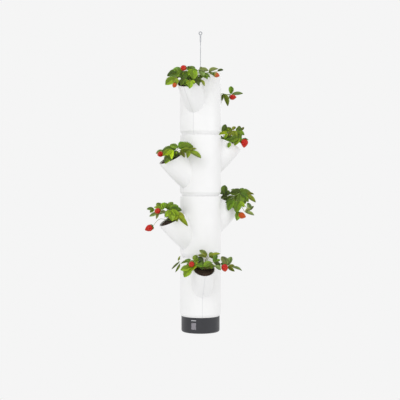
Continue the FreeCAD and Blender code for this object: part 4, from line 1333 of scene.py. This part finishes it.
# Rows of LeafSpec and of BerrySpec for each plant, seen from the front: read from the photograph where
# it shows them, and guessed elsewhere
PLANTS: dict[tuple[int, Level], tuple[list[tuple], list[tuple]]] = {
    (1, Level.UPPER): ([
        (-56, 44, 16, 55, Tone.FRESH, ((-135, 50), (-80, 34), (-165, 22))),
        (-46, 18, 34, 50, Tone.GREEN, ((-165, 42), (145, 38), (95, 42)), 1.1),
        (-22, 28, 44, 55, Tone.GREEN, ((-90, 44), (-140, 34), (-50, 36)), 1.1),
        (-22, 56, 10, 62, Tone.GREEN, ((-60, 34), (-110, 30)), 1),
        (6, -8, 46, 60, Tone.GREEN, ((70, 32), (120, 28), (10, 28)), 1.1),
        (18, 36, 48, 60, Tone.FRESH, ((-90, 42), (-140, 30)), 1.15),
        (-4, 16, 30, 45, Tone.GREEN, ((85, 34), (-65, 36), (-110, 30))),
        (6, 66, 2, 65, Tone.FRESH, ((-95, 34), (-30, 20), (-145, 20))),
        (40, 10, 52, 55, Tone.SAGE, ((-10, 36), (-60, 38), (35, 20))),
        (54, 14, 32, 50, Tone.GREEN, ((-15, 30), (-50, 30), (-115, 26))),
        (50, 44, 8, 60, Tone.OLIVE, ((-65, 26), (-130, 26)), 0.7),
        (24, 52, 10, 62, Tone.DEEP, ((-60, 34), (-20, 28)), 0.7),
        (78, -14, 42, 50, Tone.SAGE, ((40, 48), (-30, 30)), 0.75),
        (112, -18, 46, 50, Tone.DEEP, ((30, 30),), 0.6),
        (-44, -12, 36, -30, Tone.GREEN, ((30, 34), (120, 36), (-150, 30))),
    ], [
        (-24, 50, 54, 12.5, 200, 55),
        (-58, 64, -16, 10, -110, 40, Ripeness.HALF),
        (110, -12, 32, 11.5, -20, 10, Ripeness.TURNING),
    ]),
    (1, Level.LOWER): ([
        (82, 20, 24, 62, Tone.GREEN, ((85, 40),), 0.82),
        (84, 20, 22, 62, Tone.SAGE, ((12, 50),), 0.62),
        (54, 16, 28, 65, Tone.OLIVE, ((-72, 56), (-110, 30)), 0.6),
        (-26, -24, 40, -40, Tone.GREEN, ((150, 38), (60, 36), (-120, 30))),
        (22, -36, 36, -45, Tone.GREEN, ((100, 38), (150, 40), (-150, 30))),
        (-8, -48, 26, -60, Tone.FRESH, ((170, 40), (-130, 36), (110, 34))),
        (-44, -40, 12, -55, Tone.GREEN, ((-170, 42), (-110, 38), (130, 34))),
        (-14, -14, 54, -30, Tone.OLIVE, ((120, 40), (60, 36), (-170, 36))),
    ], [
        (92, 30, 12, 12.5, 0, 15),
        (-6, -62, 10, 12, -100, -40),
    ]),
    (2, Level.LOWER): ([
        (12, 22, 42, 50, Tone.GREEN, ((-168, 58), (160, 36)), 0.9),
        (0, 56, 38, 62, Tone.YELLOW, ((-118, 60), (-150, 46)), 0.78),
        (-14, 58, 22, 60, Tone.GREEN, ((-112, 44), (-75, 32)), 0.85),
        (22, 40, 44, 55, Tone.GREEN, ((12, 60), (50, 46), (150, 38)), 1),
        (30, 50, 36, 60, Tone.OLIVE, ((-8, 54), (-62, 36)), 0.75),
        (66, 58, 34, 48, Tone.OLIVE, ((-36, 58), (-100, 36), (20, 30)), 0.75),
        (-34, -22, 34, -35, Tone.GREEN, ((160, 38), (80, 38), (20, 30))),
        (-4, -38, 28, -50, Tone.OLIVE, ((110, 40), (30, 36), (-170, 32))),
    ], [
        (-52, 40, 20, 12.5, 200, 45),
    ]),
    (2, Level.UPPER): ([
        (-18, 2, 50, 60, Tone.GREEN, ((75, 50), (35, 32)), 0.75),
        (22, 4, 62, 55, Tone.FRESH, ((165, 34), (135, 30), (-130, 28)), 0.8),
        (22, 14, 66, 60, Tone.OLIVE, ((-65, 38), (60, 24), (-120, 30)), 1),
        (36, 8, 66, 60, Tone.GREEN, ((-25, 40), (-60, 44), (30, 30)), 1),
        (60, -6, 64, 55, Tone.OLIVE, ((112, 34), (60, 24)), 0.6),
        (2, 32, 54, 55, Tone.YELLOW, ((-176, 38), (-120, 26)), 0.7),
        (8, 16, 38, 50, Tone.GREEN, ((-150, 32), (-115, 36))),
        (50, 36, 34, 60, Tone.FRESH, ((-165, 44), (-120, 38), (-60, 30)), 1),
        (12, 50, 16, 62, Tone.FRESH, ((-110, 24),)),
        (24, -26, 44, -40, Tone.GREEN, ((140, 36), (60, 40), (0, 34))),
        (-14, -34, 30, -50, Tone.OLIVE, ((120, 38), (40, 34), (-150, 30))),
    ], [
        (72, 42, 12, 16.5, -98, 15),
    ]),
    (3, Level.LOWER): ([
        (-76, 14, 48, 50, Tone.GREEN, ((175, 30), (-140, 22))),
        (-42, 20, 46, 50, Tone.FRESH, ((125, 44), (155, 38), (80, 40)), 0.85),
        (-26, 4, 48, 50, Tone.GREEN, ((55, 42), (100, 34), (20, 38)), 0.85),
        (-14, 14, 50, 55, Tone.GREEN, ((-5, 48), (30, 40)), 0.85),
        (-10, 40, 46, 62, Tone.FRESH, ((-80, 48), (-125, 34), (-40, 44)), 0.85),
        (8, 34, 36, 58, Tone.OLIVE, ((-30, 44), (-75, 36)), 0.8),
        (20, 52, 24, 48, Tone.YELLOW, ((-48, 56), (-120, 26)), 0.55),
        (-58, 26, 36, 60, Tone.SAGE, ((-155, 40), (-110, 28)), 0.6),
        (-30, -28, 40, -35, Tone.GREEN, ((150, 36), (75, 38), (10, 30))),
    ], [
        (-64, 42, 42, 12.5, 200, 50),
        (-98, 34, -28, 15, 205, 15),
    ]),
    (3, Level.UPPER): ([
        (-16, 0, 48, 58, Tone.GREEN, ((80, 48), (125, 30), (40, 34)), 0.9),
        (-10, 4, 40, 58, Tone.DEEP, ((55, 36), (95, 36))),
        (2, 16, 42, 55, Tone.DEEP, ((-170, 30), (-120, 30))),
        (36, -8, 56, 50, Tone.SAGE, ((120, 28), (50, 26))),
        (52, -4, 56, 45, Tone.GREEN, ((10, 50), (60, 34)), 0.85),
        (78, 20, 50, 52, Tone.OLIVE, ((-38, 50), (5, 34)), 0.62),
        (54, 8, 52, 55, Tone.GREEN, ((175, 42), (130, 32), (-130, 32))),
        (54, 26, 56, 62, Tone.GREEN, ((-85, 50), (-30, 38))),
        (70, 30, 42, 60, Tone.GREEN, ((-50, 28), (-80, 30))),
        (24, 44, 28, 62, Tone.GREEN, ((-115, 50), (-150, 36), (-75, 38)), 0.85),
        (50, 44, 20, 62, Tone.FRESH, ((-105, 50), (-50, 32), (-135, 38))),
        (94, 36, -18, 60, Tone.SAGE, ((95, 42), (55, 28)), 0.7),
        (74, 44, -24, 60, Tone.SAGE, ((-12, 38), (40, 32)), 0.7),
        (48, 46, -20, 62, Tone.FRESH, ((-100, 38),)),
        (30, -30, 42, -40, Tone.GREEN, ((140, 38), (60, 40), (0, 34))),
    ], [
        (62, 52, -38, 15, -20, 25, Ripeness.HALF),
    ]),
    (4, Level.UPPER): ([
        (-34, 22, 36, 60, Tone.FRESH, ((90, 34), (30, 20))),
        (-26, 34, 36, 58, Tone.FRESH, ((-155, 50), (-130, 46))),
        (-50, 50, 16, 60, Tone.FRESH, ((-125, 48), (-165, 42))),
        (16, -8, 56, 55, Tone.SAGE, ((140, 42),), 0.7),
        (10, 10, 50, 50, Tone.OLIVE, ((155, 36), (110, 30)), 0.6),
        (0, 26, 38, 58, Tone.DEEP, ((140, 30), (-160, 24))),
        (-2, 54, 18, 62, Tone.GREEN, ((40, 42), (105, 28), (160, 30)), 0.8),
        (22, -12, 52, 45, Tone.OLIVE, ((25, 48), (65, 30), (-20, 34)), 0.7),
        (38, 20, 34, 60, Tone.GREEN, ((65, 36), (20, 30), (-15, 30)), 0.75),
        (46, 30, 36, 60, Tone.DEEP, ((-45, 26),)),
        (46, 44, 22, 55, Tone.SAGE, ((-40, 28),)),
        (100, 10, 20, 60, Tone.SAGE, ((125, 48), (75, 40), (160, 32)), 0.85),
        (96, 20, 14, 60, Tone.OLIVE, ((-35, 32), (20, 28)), 0.7),
        (112, 20, 14, 50, Tone.SAGE, ((-8, 42),), 0.5),
        (-58, -12, 30, 20, Tone.GREEN, ((170, 34), (110, 34))),
    ], [
        (-50, 56, 28, 12.5, 200, 60),
        (84, 44, 12, 15, -80, 45),
    ]),
    (4, Level.LOWER): ([
        (-84, 8, 72, 70, Tone.OLIVE, ((60, 26),), 0.6),
        (-76, 4, 68, 72, Tone.SAGE, ((-138, 44),), 0.3),
        (-70, 4, 66, 72, Tone.OLIVE, ((-118, 48),), 0.32),
        (-20, -30, 44, -40, Tone.GREEN, ((160, 38), (90, 40), (20, 36))),
        (30, -18, 38, -30, Tone.GREEN, ((30, 38), (90, 36), (-40, 30))),
        (34, -52, 16, -55, Tone.FRESH, ((20, 36), (80, 38), (-30, 34))),
        (-26, -46, 14, -60, Tone.GREEN, ((170, 40), (-140, 38), (110, 36))),
        (4, -34, 52, -45, Tone.OLIVE, ((100, 44), (30, 38), (165, 38))),
        (6, -58, 4, -62, Tone.GREEN, ((-120, 38), (-60, 34))),
    ], [
        (4, -64, 14, 13, -80, -40),
    ]),
}

# Where the upper spout of each module points, from the top one down
UPPER_SPOUT_TURN = (-20.0, 123.0, 123.0, 5.5)


def main() -> None:
    """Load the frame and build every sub-assembly in order."""
    logging.basicConfig(level=logging.INFO, format="%(name)s: %(message)s")
    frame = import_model()
    nodes = frame["nodes"]
    PhotoCamera().make()
    HangingCable().make()
    Studio().make()
    ReservoirBase(nodes).make()
    TopCover(nodes).make()
    shapes = PlantShapes()
    shapes.make()
    for number, azimuth in enumerate(UPPER_SPOUT_TURN, start=1):
        PlanterModule(number=number, azimuth=azimuth, shapes=shapes, nodes=nodes).make()
    shapes.clear()


if __name__ == "__main__":
    main()
